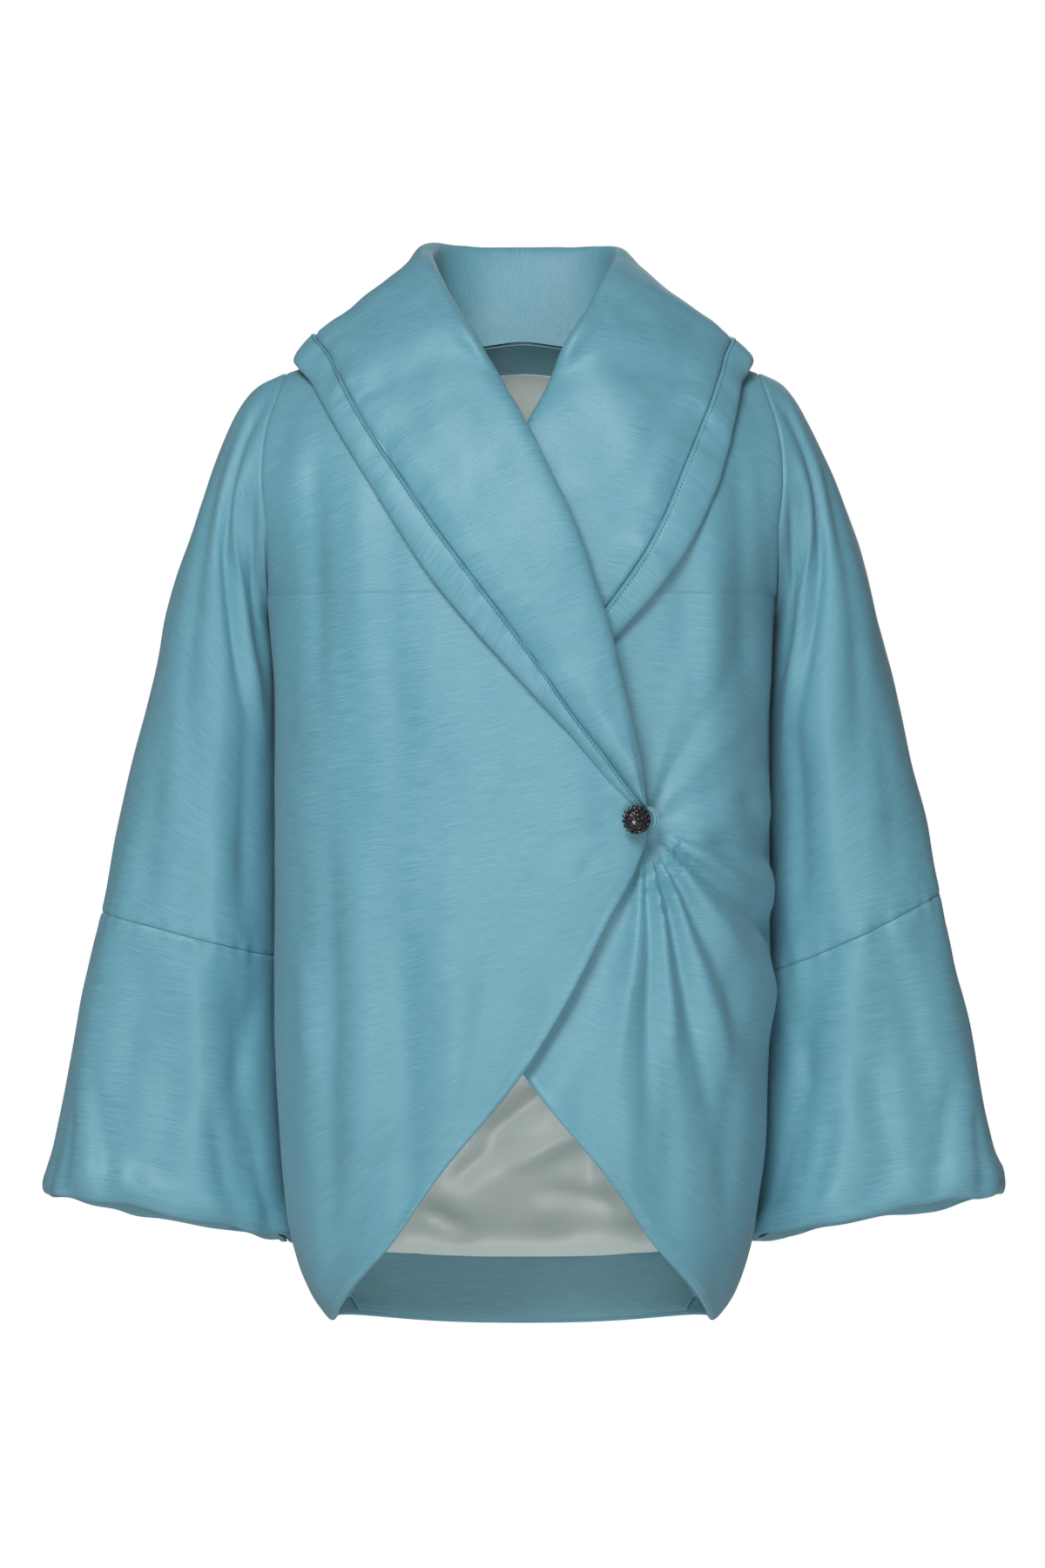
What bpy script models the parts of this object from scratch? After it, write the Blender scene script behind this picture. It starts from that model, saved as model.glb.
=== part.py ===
"""Padded satin wrap jacket, as it hangs on its wearer: shawl collar, wide sleeves, cutaway fronts.

Metres, +Z up, the front faces -Y and the wearer's right is -X. The origin is the middle of the neck,
level with the neck ends of the shoulder seams. The body panels are walls on one form, the collar lies
on that form, and each sleeve is lofted from the armhole, so neighbouring pieces share their seam lines.
"""

import math

import bmesh
import bpy
import numpy as np
from mathutils import Matrix, Vector

COLLECTION = "padded_wrap_jacket"

# Body form. A drop is the way down from the shoulder seam, and a turn the angle from the centre front.
SQUARENESS = 2.5
LENGTH = 0.800
YOKE = 0.200
NECK_HALF = 0.075
NECK_SOFT = 0.030  # rounds the shoulder line off across the neck
SHOULDER_SLOPE = 0.335
BACK_DIP = 0.014
HALF_WIDTH = ((0, 0.2165), (0.04, 0.2300), (0.08, 0.2345), (0.12, 0.2315), (0.17, 0.2180), (0.22, 0.2045),
              (0.28, 0.1995), (0.38, 0.1985), (0.52, 0.1990), (0.62, 0.1965), (0.69, 0.1910), (0.74, 0.1835),
              (0.765, 0.1755), (0.785, 0.1655), (0.80, 0.1530))
FRONT_DEPTH = ((0, 0.128), (0.10, 0.130), (0.20, 0.137), (0.35, 0.142), (0.55, 0.142), (0.70, 0.134),
               (0.80, 0.118))
BACK_DEPTH = ((0, 0.120), (0.10, 0.122), (0.20, 0.128), (0.40, 0.128), (0.60, 0.130), (0.72, 0.126),
              (0.80, 0.116))
UNDERARM = 0.220
ARM_DEPTH = 0.60  # half-depth of the armhole, as a share of the section's

# Front edge of either front, as (depth below the neck, x towards the other side of the centre).
FRONT_EDGE = ((-0.03, -0.075), (0.0, -0.075), (0.012, -0.068), (0.032, -0.056), (0.056, -0.043),
              (0.096, -0.020), (0.138, 0.002), (0.181, 0.0205), (0.232, 0.038), (0.301, 0.0545),
              (0.330, 0.0560), (0.355, 0.0575), (0.378, 0.0695), (0.391, 0.0905), (0.402, 0.0980), (0.431, 0.0907),
              (0.478, 0.0663), (0.525, 0.0426), (0.594, 0.0007), (0.680, -0.069), (0.7305, -0.104),
              (0.773, -0.1390), (0.792, -0.1475), (0.82, -0.1490))
BUTTON_PLACE = (0.0861, -0.3967)
GATHER_PLACE = (0.1010, -0.4030)

# Collar: its roll, the seam of its outer band and the band's edge. A station runs from 0 at the centre back
# to 1 at the button. On the neck a row is (station, x, y, z), on the shoulder seam (station, x, lift), and
# on a panel (station, x, z, lift off the panel).
ROLL_NECK = ((0, 0, 0.080, 0.0710), (0.06, -0.045, 0.075, 0.0710), (0.13, -0.0735, 0.047, 0.0690),
             (0.18, -0.0725, 0.010, 0.0560), (0.24, -0.0625, -0.030, 0.0342), (0.30, -0.049, -0.064, 0.0037),
             (0.35, -0.0336, -0.090, -0.0212))
ROLL_FRONT = ((0.40, -0.0212, -0.0441, 0.005), (0.50, 0.0014, -0.084, 0.005), (0.58, 0.0237, -0.1261, 0.005),
              (0.67, 0.0439, -0.1731, 0.005), (0.76, 0.0621, -0.2244, 0.005), (0.87, 0.079, -0.2967, 0.005),
              (0.96, 0.0919, -0.3589, 0.004), (1.0, 0.0962, -0.3870, 0.003))
SEAM_BACK = ((0, 0, -0.030, 0.022), (0.08, -0.06, -0.029, 0.021), (0.15, -0.115, -0.022, 0.020))
SEAM_RIDGE = (0.20, -0.1520, 0.021)
SEAM_FRONT = ((0.30, -0.1475, -0.0400, 0.015), (0.39, -0.1265, -0.0796, 0.010),
              (0.50, -0.0913, -0.1338, 0.008), (0.64, -0.0517, -0.1900, 0.008),
              (0.78, 0.0054, -0.2657, 0.008), (0.87, 0.0391, -0.3150, 0.008),
              (0.94, 0.0700, -0.3555, 0.0065), (1.0, 0.0925, -0.3855, 0.0045))
UNDER_SEAM_FRONT = ((0.30, -0.1560, -0.0400, 0.013), (0.39, -0.1450, -0.0727, 0.010),
                    (0.48, -0.1280, -0.1150, 0.008), (0.60, -0.1026, -0.1748, 0.008),
                    (0.72, -0.0621, -0.2360, 0.008), (0.84, -0.0050, -0.2950, 0.008),
                    (0.93, 0.0450, -0.3420, 0.0065), (1.0, 0.0925, -0.3855, 0.0045))
EDGE_BACK = ((0, 0, -0.056, 0.0065), (0.08, -0.07, -0.054, 0.0065), (0.15, -0.13, -0.045, 0.0065))
EDGE_RIDGE = (0.20, -0.1745, 0.0065)
EDGE_FRONT = ((0.30, -0.1643, -0.0565, 0.0065), (0.38, -0.1475, -0.0871, 0.0065),
              (0.52, -0.1045, -0.1580, 0.006), (0.65, -0.0650, -0.2165, 0.006),
              (0.80, 0.0054, -0.2967, 0.006), (0.88, 0.0391, -0.3332, 0.006),
              (0.95, 0.0680, -0.3700, 0.005), (1.0, 0.0885, -0.3890, 0.004))
UNDER_EDGE_FRONT = ((0.30, -0.1720, -0.0560, 0.0065), (0.38, -0.1660, -0.0850, 0.0065),
                    (0.47, -0.1540, -0.1300, 0.006), (0.60, -0.1244, -0.1916, 0.006),
                    (0.74, -0.0696, -0.2596, 0.006), (0.85, -0.0050, -0.3150, 0.006),
                    (0.94, 0.0420, -0.3590, 0.005), (1.0, 0.0885, -0.3890, 0.004))
NECK_FRONT = ((0.19, -0.0745, 0.0, 0.0045), (0.25, -0.0650, -0.012, 0.002), (0.31, -0.0530, -0.032, -0.002))
NECK_DROP = 0.0205
COLLAR_ROWS = 22
COLLAR_FOLD = 0.009
COLLAR_WALL = 0.0075
COLLAR_PUFF = 0.005
LYING_PUFF = 0.003
SEAM_LIFT = 0.0035
ROLL_LIFT = 0.014
BAND_GAP = 0.0005
BAND_PUFF = 0.002
BAND_WALL = 0.0062
BAND_EDGE_WALL = 0.003

# Sleeve: the line along its top, as (share of the way, x, z), and how far down the side its inner line is.
SLEEVE_TOP = ((0, 0.1900, -0.0385), (0.05, 0.2142, -0.0518), (0.10, 0.2331, -0.0798),
              (0.15, 0.2480, -0.1130), (0.24, 0.2680, -0.1690), (0.38, 0.2940, -0.2653),
              (0.66, 0.3402, -0.4718), (1.0, 0.3864, -0.6944))
SLEEVE_INNER_DROP = ((0, 0.2200), (0.10, 0.2450), (0.24, 0.3050), (0.38, 0.3700), (0.66, 0.5080),
                     (1.0, 0.7290))
SLEEVE_DEPTH = ((0, 0.076), (0.25, 0.080), (0.66, 0.074), (1.0, 0.066))
SLEEVE_SET_BACK = 0.042
SLEEVE_ROUNDNESS = 2.2
ELBOW = 0.66
ELBOW_SLANT = {"right": 0.0, "left": 0.045}
CUFF_TILT = 0.24
SIDE_CLEARANCE = 0.0050
ARM_STEPS = 8
SIDE_STEPS = 13
UPPER_SHARES = (0, 0.05, 0.11, 0.18, 0.27, 0.38, 0.52, ELBOW)
LOWER_SHARES = (ELBOW, 0.728, 0.796, 0.864, 0.932, 1.0)
CUFF_FACING_SHARES = (0.932, 0.966, 0.998)
LINING_SHARES = (0.796, 0.864, 0.931)

WALL = 0.005
THIN = 0.0012
SEAM_GAP = 0.0003
SLEEVE_GAP = 0.00048
LAYER_GAP = 0.0020
OVERLAP_DROP = 0.022
EDGE_DROP = 0.0125

FACING_INSET = 0.012
FACING_START = 0.43
NECK_FACING = 0.023
HEM_FACING = 0.7441
HEM_FACING_END = 0.797

# Button: (radius, height over the cloth) from its shank to its dome. Loop: (x, z) along the front's edge.
BUTTON_PROFILE = ((0.0, 0.0), (0.002, 0.0), (0.002, 0.0080), (0.0100, 0.0084), (0.0117, 0.0108), (0.0112, 0.0132),
                  (0.0090, 0.0152), (0.0050, 0.0165), (0.0, 0.0170))
BUTTON_LIFT = 0.0006
BUTTON_SPOKES = 24
LOOP_POINTS = ((0.0990, -0.3880), (0.1035, -0.3905), (0.1055, -0.3960), (0.1045, -0.4020), (0.1010, -0.4060))
LOOP_RADIUS = 0.0011

# Finishes: colour, roughness and, on the satin, sheen.
SATIN = ((0.15, 0.36, 0.45), 0.42, 0.3)
FACING = ((0.16, 0.33, 0.40), 0.65)
LINING = ((0.48, 0.53, 0.50), 0.45)
BEADS = ((0.02, 0.02, 0.022), 0.25)


def ease(rows):
    """A smooth curve through rows of (place, values...), read at any place."""
    table = np.array(rows, float)
    places, values = table[:, 0], table[:, 1:]
    slopes = np.gradient(values, places, axis=0)

    def read(place):
        place = np.clip(np.asarray(place, float), places[0], places[-1])
        i = np.clip(np.searchsorted(places, place, side="right") - 1, 0, len(places) - 2)
        step = (places[i + 1] - places[i])[..., None]
        t = (place - places[i])[..., None] / step
        curve = (
            (1 + 2 * t) * (1 - t) ** 2 * values[i]
            + t * (1 - t) ** 2 * step * slopes[i]
            + t**2 * (3 - 2 * t) * values[i + 1]
            + t**2 * (t - 1) * step * slopes[i + 1]
        )
        return curve[..., 0] if values.shape[1] == 1 else curve

    return read


def ramp(t):
    """0 to 1 with soft ends."""
    t = np.clip(t, 0, 1)
    return t * t * (3 - 2 * t)


def unit(vectors):
    return vectors / np.linalg.norm(vectors, axis=-1, keepdims=True)


half_width, front_depth, back_depth = ease(HALF_WIDTH), ease(FRONT_DEPTH), ease(BACK_DEPTH)
front_edge, roll_edge = ease(FRONT_EDGE), ease([(-z, x) for _, x, z, _ in ROLL_FRONT])


def shoulder(x, drop):
    """Height that the slope of the shoulder adds, fading out down the yoke."""
    return SHOULDER_SLOPE * (NECK_HALF - np.hypot(x, NECK_SOFT)) * (1 - ramp(drop / YOKE))


def form(turn, drop):
    side, fore = np.sin(turn), np.cos(turn)
    arch = np.sqrt(1 - (1 - np.clip(drop / YOKE, 0, 1)) ** 2)
    depth = np.where(fore >= 0, front_depth(drop), back_depth(drop)) * arch
    x = half_width(drop) * np.sign(side) * np.abs(side) ** (2 / SQUARENESS)
    y = -depth * np.sign(fore) * np.abs(fore) ** (2 / SQUARENESS)
    dip = BACK_DIP * np.clip(-fore, 0, 1) ** 2 * (drop / LENGTH) ** 4
    return np.stack([x, y, shoulder(x, drop) - drop - dip], axis=-1)


def outward(turn, drop):
    """Unit normal of the form. On the shoulder seam it leans neither forwards nor back."""
    along = form(turn + 0.01, drop) - form(turn - 0.01, drop)
    down = form(turn, np.minimum(drop + 0.002, LENGTH)) - form(turn, np.maximum(drop - 0.002, 0))
    normal = np.cross(down, along)
    normal[..., 1] = np.where(drop < 1e-6, 0, normal[..., 1])
    return unit(normal)


def turn_at(x, drop):
    """Turn, on the front half, where the section at this drop has this x."""
    share = np.clip(np.abs(x) / half_width(drop), 0, 1)
    return np.sign(x) * np.arcsin(share ** (SQUARENESS / 2))


def drop_at(x, z):
    drop = -np.asarray(z, float)
    for _ in range(12):
        drop = np.clip(shoulder(x, drop) - z, 0, LENGTH)
    return drop


def armhole_turn(drop):
    share = ARM_DEPTH * np.sqrt(1 - np.clip(drop / UNDERARM, 0, 1) ** 4)
    return np.arccos(share ** (SQUARENESS / 2))


def armhole_rim(turn, drop):
    """Direction through the wall at the armhole: square to the panel above, straight up under the arm."""
    up = (np.clip(drop / UNDERARM, 0, 1) ** 6)[..., None]
    return unit(-outward(turn, drop) * (1 - up) + np.array([0, 0, 1.0]) * up)


def sunk(x, z):
    """How far the under front lies inside the form, below the over front, its collar and their edge."""
    beyond = x - np.maximum(front_edge(-z), np.where(z > -0.392, roll_edge(-z), -1))
    low = ramp((-0.36 - z) / 0.07)
    depth = OVERLAP_DROP * (1 - low) + EDGE_DROP * low
    reach = 0.090 * (1 - low) + 0.045 * low
    return depth * (1 - ramp(beyond / reach))


def gathered(x, z):
    """Folds of the under front that fan out below the gather, and the pull at it."""
    across, down = x - GATHER_PLACE[0], GATHER_PLACE[1] - z
    reach = np.hypot(across, down)
    angle = np.degrees(np.arctan2(across, down))
    window = ramp((reach - 0.02) / 0.05) * (1 - ramp((reach - 0.13) / 0.12)) * ramp((75 - np.abs(angle)) / 30)
    return 0.0035 * window * np.cos(np.radians((angle - 6) * 12)) - 0.004 * np.exp(-((reach / 0.035) ** 2))


def laid(turn, drop, lift, under):
    """Point lifted off the panel at this turn and drop. under picks the front that lies below."""
    point, normal = form(turn, drop), outward(turn, drop)
    lift = np.broadcast_to(lift, np.shape(drop)).astype(float)
    if under:
        x, z = point[..., 0], point[..., 2]
        lift = lift - sunk(-x, z) + gathered(-x, z)
    return point + normal * lift[..., None]


# --- Walls ---

for leftover in list(bpy.data.objects):
    bpy.data.objects.remove(leftover, do_unlink=True)
collection = bpy.data.collections.new(COLLECTION)
bpy.context.scene.collection.children.link(collection)


def new_material(name, colour, roughness, sheen=0.0):
    material = bpy.data.materials.new(name)
    material.use_nodes = True
    shader = material.node_tree.nodes["Principled BSDF"]
    shader.inputs["Base Color"].default_value = (*colour, 1)
    shader.inputs["Roughness"].default_value = roughness
    shader.inputs["Sheen Weight"].default_value = sheen
    return material


def add_object(name, mesh, colour, roughness, sheen=0.0):
    mesh.materials.append(new_material(name, colour, roughness, sheen))
    mesh.shade_smooth()
    mesh.set_sharp_from_angle(angle=math.radians(50))
    collection.objects.link(bpy.data.objects.new(name, mesh))


def add_wall(name, outer, inner, finish, ring=False):
    """One closed wall between two grids of points. A ring's last column joins its first."""
    rows, columns = outer.shape[:2]
    shell = bmesh.new()
    skins = [[[shell.verts.new(p) for p in row] for row in grid] for grid in (outer, inner)]
    out, inn = skins
    spans = [(j, (j + 1) % columns) for j in range(columns if ring else columns - 1)]
    for i in range(rows - 1):
        for j, k in spans:
            shell.faces.new((out[i][j], out[i][k], out[i + 1][k], out[i + 1][j]))
            shell.faces.new((inn[i][j], inn[i + 1][j], inn[i + 1][k], inn[i][k]))
    for j, k in spans:
        shell.faces.new((out[0][j], inn[0][j], inn[0][k], out[0][k]))
        shell.faces.new((out[-1][k], inn[-1][k], inn[-1][j], out[-1][j]))
    if not ring:
        for i in range(rows - 1):
            shell.faces.new((out[i][0], out[i + 1][0], inn[i + 1][0], inn[i][0]))
            shell.faces.new((out[i][-1], inn[i][-1], inn[i + 1][-1], out[i + 1][-1]))
    bmesh.ops.triangulate(shell, faces=shell.faces[:], quad_method="FIXED")
    if shell.calc_volume(signed=True) < 0:
        bmesh.ops.reverse_faces(shell, faces=shell.faces[:])
    mesh = bpy.data.meshes.new(name)
    shell.to_mesh(mesh)
    shell.free()
    add_object(name, mesh, *finish)


def mirrored(grid):
    return grid * np.array([-1, 1, 1])


# --- Body panels ---

arm_angles = np.linspace(0, math.pi, ARM_STEPS + 1)
arm_drops = UNDERARM * (1 - np.cos(arm_angles)) / 2
side_shares = np.arange(1, SIDE_STEPS + 1) / SIDE_STEPS
side_drops = UNDERARM + (LENGTH - UNDERARM) * (1 - (1 - side_shares) ** 1.25)
drops = np.concatenate([arm_drops, side_drops])


def front_grids(under):
    """Outer and inner grid of a front, drawn as the wearer's right one, from its side to its front edge.

    Its turns and drops come with them."""
    columns = 15 if under else 13
    drop = np.repeat(drops[:, None], columns, axis=1)
    x = np.full(len(drops), -NECK_HALF)
    for _ in range(12):
        x = front_edge(drops - shoulder(x, drops))
    side, edge = -armhole_turn(drops), turn_at(x, drops)
    turn = side[:, None] + (edge - side)[:, None] * np.linspace(0, 1, columns)
    outer = laid(turn, drop, 0, under)
    inner = laid(turn, drop, -WALL, under)
    above = drops <= UNDERARM + 1e-9
    inner[above, 0] = outer[above, 0] + WALL * armhole_rim(side, drops)[above]
    forward = np.array([0, -SEAM_GAP / 2, 0])
    return outer + forward, inner + forward, turn, drop


def back_places(rows, across):
    """Turns and drops over the back: rows are drops below the neckline, across runs -1 to 1 side to side."""
    neck_share = np.abs(across) * armhole_turn(0) / turn_at(NECK_HALF, 0)
    start = NECK_DROP * np.sqrt(np.clip(1 - neck_share**2, 0, 1))
    drop = start + rows[:, None] * (LENGTH - start) / LENGTH
    return math.pi - armhole_turn(rows)[:, None] * across, drop


back_turn, back_drop = back_places(drops, np.linspace(-1, 1, 17))
back_outer = form(back_turn, back_drop)
back_normal = outward(back_turn, back_drop)
back_inner = back_outer - WALL * back_normal
above = drops <= UNDERARM + 1e-9
for column in (0, -1):
    rim = armhole_rim(back_turn[:, column], drops)
    back_inner[above, column] = back_outer[above, column] + WALL * rim[above]
backward = np.array([0, SEAM_GAP / 2, 0])
# The back's rows run upwards, so that its rims split into triangles as the sleeves' do.
add_wall("back_panel", (back_outer + backward)[::-1], (back_inner + backward)[::-1], SATIN)


for name, under in (("right", False), ("left", True)):
    outer, inner, turn, drop = front_grids(under)
    turn_side = mirrored if under else np.copy
    add_wall(f"{name}_front", turn_side(outer), turn_side(inner), SATIN)
    # The facing backs the cutaway edge, on the last columns of the front.
    rows = drops > FACING_START
    edge_turn, edge_drop = turn[rows, -3:] - FACING_INSET, drop[rows, -3:]
    outer, inner = (laid(edge_turn, edge_drop, -WALL - LAYER_GAP - depth, under) for depth in (0, THIN))
    add_wall(f"{name}_front_facing", turn_side(outer), turn_side(inner), FACING)

# Inside the back: a facing at the neck, the lining, and a facing at the hem.
across = np.linspace(-1, 1, 17)
for name, rows, columns in (
    ("neck_facing", (0, 0.010, NECK_FACING), slice(6, 11)),
    ("back_lining", (NECK_FACING + SEAM_GAP, *drops[2:19], HEM_FACING), slice(3, 14)),
    ("hem_facing", (HEM_FACING + 2 * SEAM_GAP, 0.7765, HEM_FACING_END), slice(3, 14)),
):
    turn, drop = back_places(np.array(rows), across[columns])
    outer, inner = (laid(turn, drop, -WALL - LAYER_GAP - depth, False) for depth in (0, THIN))
    add_wall(name, outer[::-1], inner[::-1], LINING if name == "back_lining" else FACING)


# --- Sleeves ---

sleeve_top, sleeve_drop, sleeve_depth = ease(SLEEVE_TOP), ease(SLEEVE_INNER_DROP), ease(SLEEVE_DEPTH)


def sleeve_point(share, angle):
    """Point of the wearer's left sleeve: share of the way to the cuff, angle from its top line forwards."""
    fore = np.sin(angle) >= 0
    drop = UNDERARM * (1 - np.cos(angle)) / 2
    start_turn = np.where(fore, armhole_turn(drop), math.pi - armhole_turn(drop))
    start = form(start_turn, drop)
    top = np.insert(sleeve_top(share), 1, 0, axis=-1)
    first_top, first_inner = form(armhole_turn(0.0), 0.0), form(math.pi / 2, UNDERARM)
    back_by = SLEEVE_SET_BACK * ramp(share / 0.18)
    inner_drop = sleeve_drop(share)
    flank = (1 - (back_by / back_depth(inner_drop)) ** SQUARENESS) ** (1 / SQUARENESS)
    inner_x = half_width(inner_drop) * flank + SIDE_CLEARANCE * ramp(share / 0.15)
    inner = np.stack([inner_x, np.zeros_like(inner_x), -inner_drop], axis=-1)
    cosine = np.sign(np.cos(angle)) * np.abs(np.cos(angle)) ** (2 / SLEEVE_ROUNDNESS)
    sine = np.sign(np.sin(angle)) * np.abs(np.sin(angle)) ** (2 / SLEEVE_ROUNDNESS)
    ring = (top + inner) / 2 + (top - inner) / 2 * cosine[..., None]
    upper = (1 + np.cos(angle)) / 2
    set_back = back_by * (1 - upper) + SLEEVE_SET_BACK * 0.7 * ramp(share / 0.60) * upper
    y = set_back - sleeve_depth(share) * sine
    ring[..., 1] = y
    ring[..., 2] -= CUFF_TILT * y * ramp((share - ELBOW) / (1 - ELBOW))
    upper = upper[..., None]
    moved = start + (top - first_top) * upper + (inner - first_inner) * (1 - upper)
    moved[..., 1] += set_back
    settled = ramp(share / 0.30)[..., None]
    return moved * (1 - settled) + ring * settled


def sleeve_grids(share, angle, layers):
    """Grids of the sleeve at each of these depths inside its outer face."""
    outer = sleeve_point(share, angle)
    ahead, behind = np.minimum(share + 0.004, 1), np.maximum(share - 0.004, 0)
    along = sleeve_point(ahead, angle) - sleeve_point(behind, angle)
    round_it = sleeve_point(share, angle + 0.02) - sleeve_point(share, angle - 0.02)
    inward = -unit(np.cross(round_it, along))
    if share.min() < 1e-9:
        drop = UNDERARM * (1 - np.cos(angle[0])) / 2
        turn = np.where(np.sin(angle[0]) >= 0, armhole_turn(drop), math.pi - armhole_turn(drop))
        inward[0] = armhole_rim(turn, drop)
    return [outer + inward * depth for depth in layers]


angles = np.arange(2 * ARM_STEPS) * math.pi / ARM_STEPS


def slanted(shares, slant):
    """Shares of the way for whole rings, with the elbow seam lower on the inner side."""
    shares = np.array(shares)[:, None]
    bend = np.interp(shares, (0, ELBOW, 1), (0, 1, 0))
    return shares + slant * bend * ((1 - np.cos(angles)) / 2 - 0.5)


for name, flip in (("right", -1), ("left", 1)):
    side = np.array([flip, 1, 1])
    outwards = np.array([flip * SLEEVE_GAP, 0, 0])
    below = np.array([flip * SLEEVE_GAP, 0, -SLEEVE_GAP])
    inside = WALL + LAYER_GAP
    for piece, shares, layers, shift, finish in (
        ("upper_sleeve", UPPER_SHARES, (0, WALL), outwards, SATIN),
        ("lower_sleeve", LOWER_SHARES, (0, WALL), below, SATIN),
        ("cuff_facing", CUFF_FACING_SHARES, (inside, inside + THIN), below, FACING),
        ("sleeve_lining", LINING_SHARES, (inside, inside + THIN), below, LINING),
    ):
        around = np.repeat(angles[None, :], len(shares), axis=0)
        outer, inner = sleeve_grids(slanted(shares, ELBOW_SLANT[name]), around, layers)
        add_wall(f"{name}_{piece}", outer * side + shift, inner * side + shift, finish, ring=True)


# --- Collar and band, each half drawn as the wearer's right one ---


def on_front(rows, under):
    station, x, z, lift = np.array(rows).T
    drop = drop_at(x, z)
    return np.column_stack([station, laid(turn_at(x, drop), drop, lift, under)])


def on_back(rows):
    station, x, z, lift = np.array(rows).T
    drop = drop_at(x, z)
    return np.column_stack([station, laid(math.pi - turn_at(x, drop), drop, lift, False)])


def on_ridge(row):
    station, x, lift = row
    drop = np.array([0.0])
    return np.column_stack([[station], laid(turn_at(np.array([x]), drop), drop, lift, False)])


def neck_seam(under):
    across = np.array([0, 0.45, 0.80]) * turn_at(NECK_HALF, 0) / armhole_turn(0)
    turn, drop = back_places(np.array([0.0]), -across)
    back = np.column_stack([[0, 0.07, 0.13], laid(turn[0], drop[0], 0.0015, False)])
    return np.vstack([back, on_front(NECK_FRONT, under)])


stations = np.linspace(0, 1, COLLAR_ROWS) ** 0.9


def collar_lines(under):
    seam_rows = UNDER_SEAM_FRONT if under else SEAM_FRONT
    edge_rows = UNDER_EDGE_FRONT if under else EDGE_FRONT
    roll = ease(np.vstack([ROLL_NECK, on_front(ROLL_FRONT, under)]))
    seam = ease(np.vstack([on_back(SEAM_BACK), on_ridge(SEAM_RIDGE), on_front(seam_rows, under)]))
    edge = ease(np.vstack([on_back(EDGE_BACK), on_ridge(EDGE_RIDGE), on_front(edge_rows, under)]))
    neck = ease(neck_seam(under))
    return roll, seam, edge, neck


def panel_lift(point, lift, under):
    """The point of a front, lifted, that has this point's x and z."""
    drop = drop_at(point[0], point[2])
    return laid(turn_at(point[0], drop), drop, lift, under)


def panel_normal(point):
    drop = drop_at(point[0], point[2])
    return outward(turn_at(point[0], drop), drop)


def collar_section(station, roll, seam, neck, under):
    """Outer and inner points across the collar: the fall from its seam, round the roll, and the stand."""
    r, m, n = roll(station), seam(station), neck(min(station, 0.31))
    tangent = unit(roll(min(station + 0.01, 1)) - roll(max(station - 0.01, 0)))
    if station < 1e-6:
        tangent = np.array([-1.0, 0, 0])
    to_roll = unit(r - m)
    out = unit(np.cross(tangent, to_roll))
    width = np.linalg.norm(r - m)
    fold = min(COLLAR_FOLD, 0.40 * width)
    wall = min(COLLAR_WALL, 0.75 * fold)
    centre = r - fold * to_roll
    tucked = centre - 1.5 * fold * to_roll - fold * out
    flat = ramp((station - 0.28) / 0.12)
    n = n * (1 - flat) + tucked * flat
    down_stand = np.array([-1.0, 0.0])
    for _ in range(3):
        faces_neck = np.array([-down_stand[1], down_stand[0]])
        start = centre + fold * (faces_neck[0] * to_roll + faces_neck[1] * out)
        down_stand = unit(np.array([(n - start) @ to_roll, (n - start) @ out]))
    faces_neck = np.array([-down_stand[1], down_stand[0]])
    end = math.atan2(faces_neck[1], faces_neck[0])
    outer, inner = [], []
    top = centre + fold * out
    on_panel = ramp((station - 0.26) / 0.16)
    for c, thickness in ((0, 0.60), (0.25, 0.9), (0.5, 1.0), (0.75, 1.0)):
        chord = m + (top - m) * c
        swell = 4 * c * (1 - c)
        free = chord + out * COLLAR_PUFF * swell
        seam_lift = 0.6 * wall + SEAM_LIFT
        fold_lift = ROLL_LIFT * fold / COLLAR_FOLD
        lying = panel_lift(chord, seam_lift + (fold_lift - seam_lift) * c + LYING_PUFF * swell, under)
        if c == 0:
            lying = m
        point = free * (1 - on_panel) + lying * on_panel
        normal = unit(out * (1 - on_panel * 0.8) + panel_normal(chord) * on_panel * 0.8)
        outer.append(point)
        inner.append(point - normal * wall * thickness)
    bend = end - math.pi / 2
    for share in (0, 0.38, 0.7, 1):
        angle = math.pi / 2 + bend * share
        direction = math.cos(angle) * to_roll + math.sin(angle) * out
        outer.append(centre + direction * fold)
        inner.append(centre + direction * (fold - wall))
    outer.append(n)
    inner.append(n - (faces_neck[0] * to_roll + faces_neck[1] * out) * wall * 0.8)
    return outer, inner


for name, under in (("right", False), ("left", True)):
    turn_side = mirrored if under else np.copy
    roll, seam, edge, neck = collar_lines(under)
    sections = [collar_section(s, roll, seam, neck, under) for s in stations]
    outer, inner = (np.array([section[k] for section in sections]) for k in (0, 1))
    outer[0, :, 0] = inner[0, :, 0] = -SEAM_GAP / 2
    add_wall(f"{name}_collar", turn_side(outer), turn_side(inner), SATIN)

    m, rim = outer[:, 0], inner[:, 0] - outer[:, 0]
    e = edge(stations)
    edge_normal = np.array([
        unit(panel_normal(p) if station > 0.26 else -through) for p, station, through in zip(e, stations, rim)
    ])
    start = m + unit(e - m) * BAND_GAP
    depth = np.linalg.norm(rim, axis=1)[:, None]
    middle = (m + e) / 2 - unit(rim) * BAND_PUFF
    middle_rim = unit(rim) * np.minimum(depth * 1.35, BAND_WALL)
    edge_rim = -edge_normal * np.minimum(depth, BAND_EDGE_WALL)
    band_outer = np.stack([start, middle, e], axis=1)
    band_inner = band_outer + np.stack([rim, middle_rim, edge_rim], axis=1)
    band_outer[0, :, 0] = band_inner[0, :, 0] = -SEAM_GAP / 2
    add_wall(f"{name}_collar_band", turn_side(band_outer), turn_side(band_inner), SATIN)


# --- Button and loop ---

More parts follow.
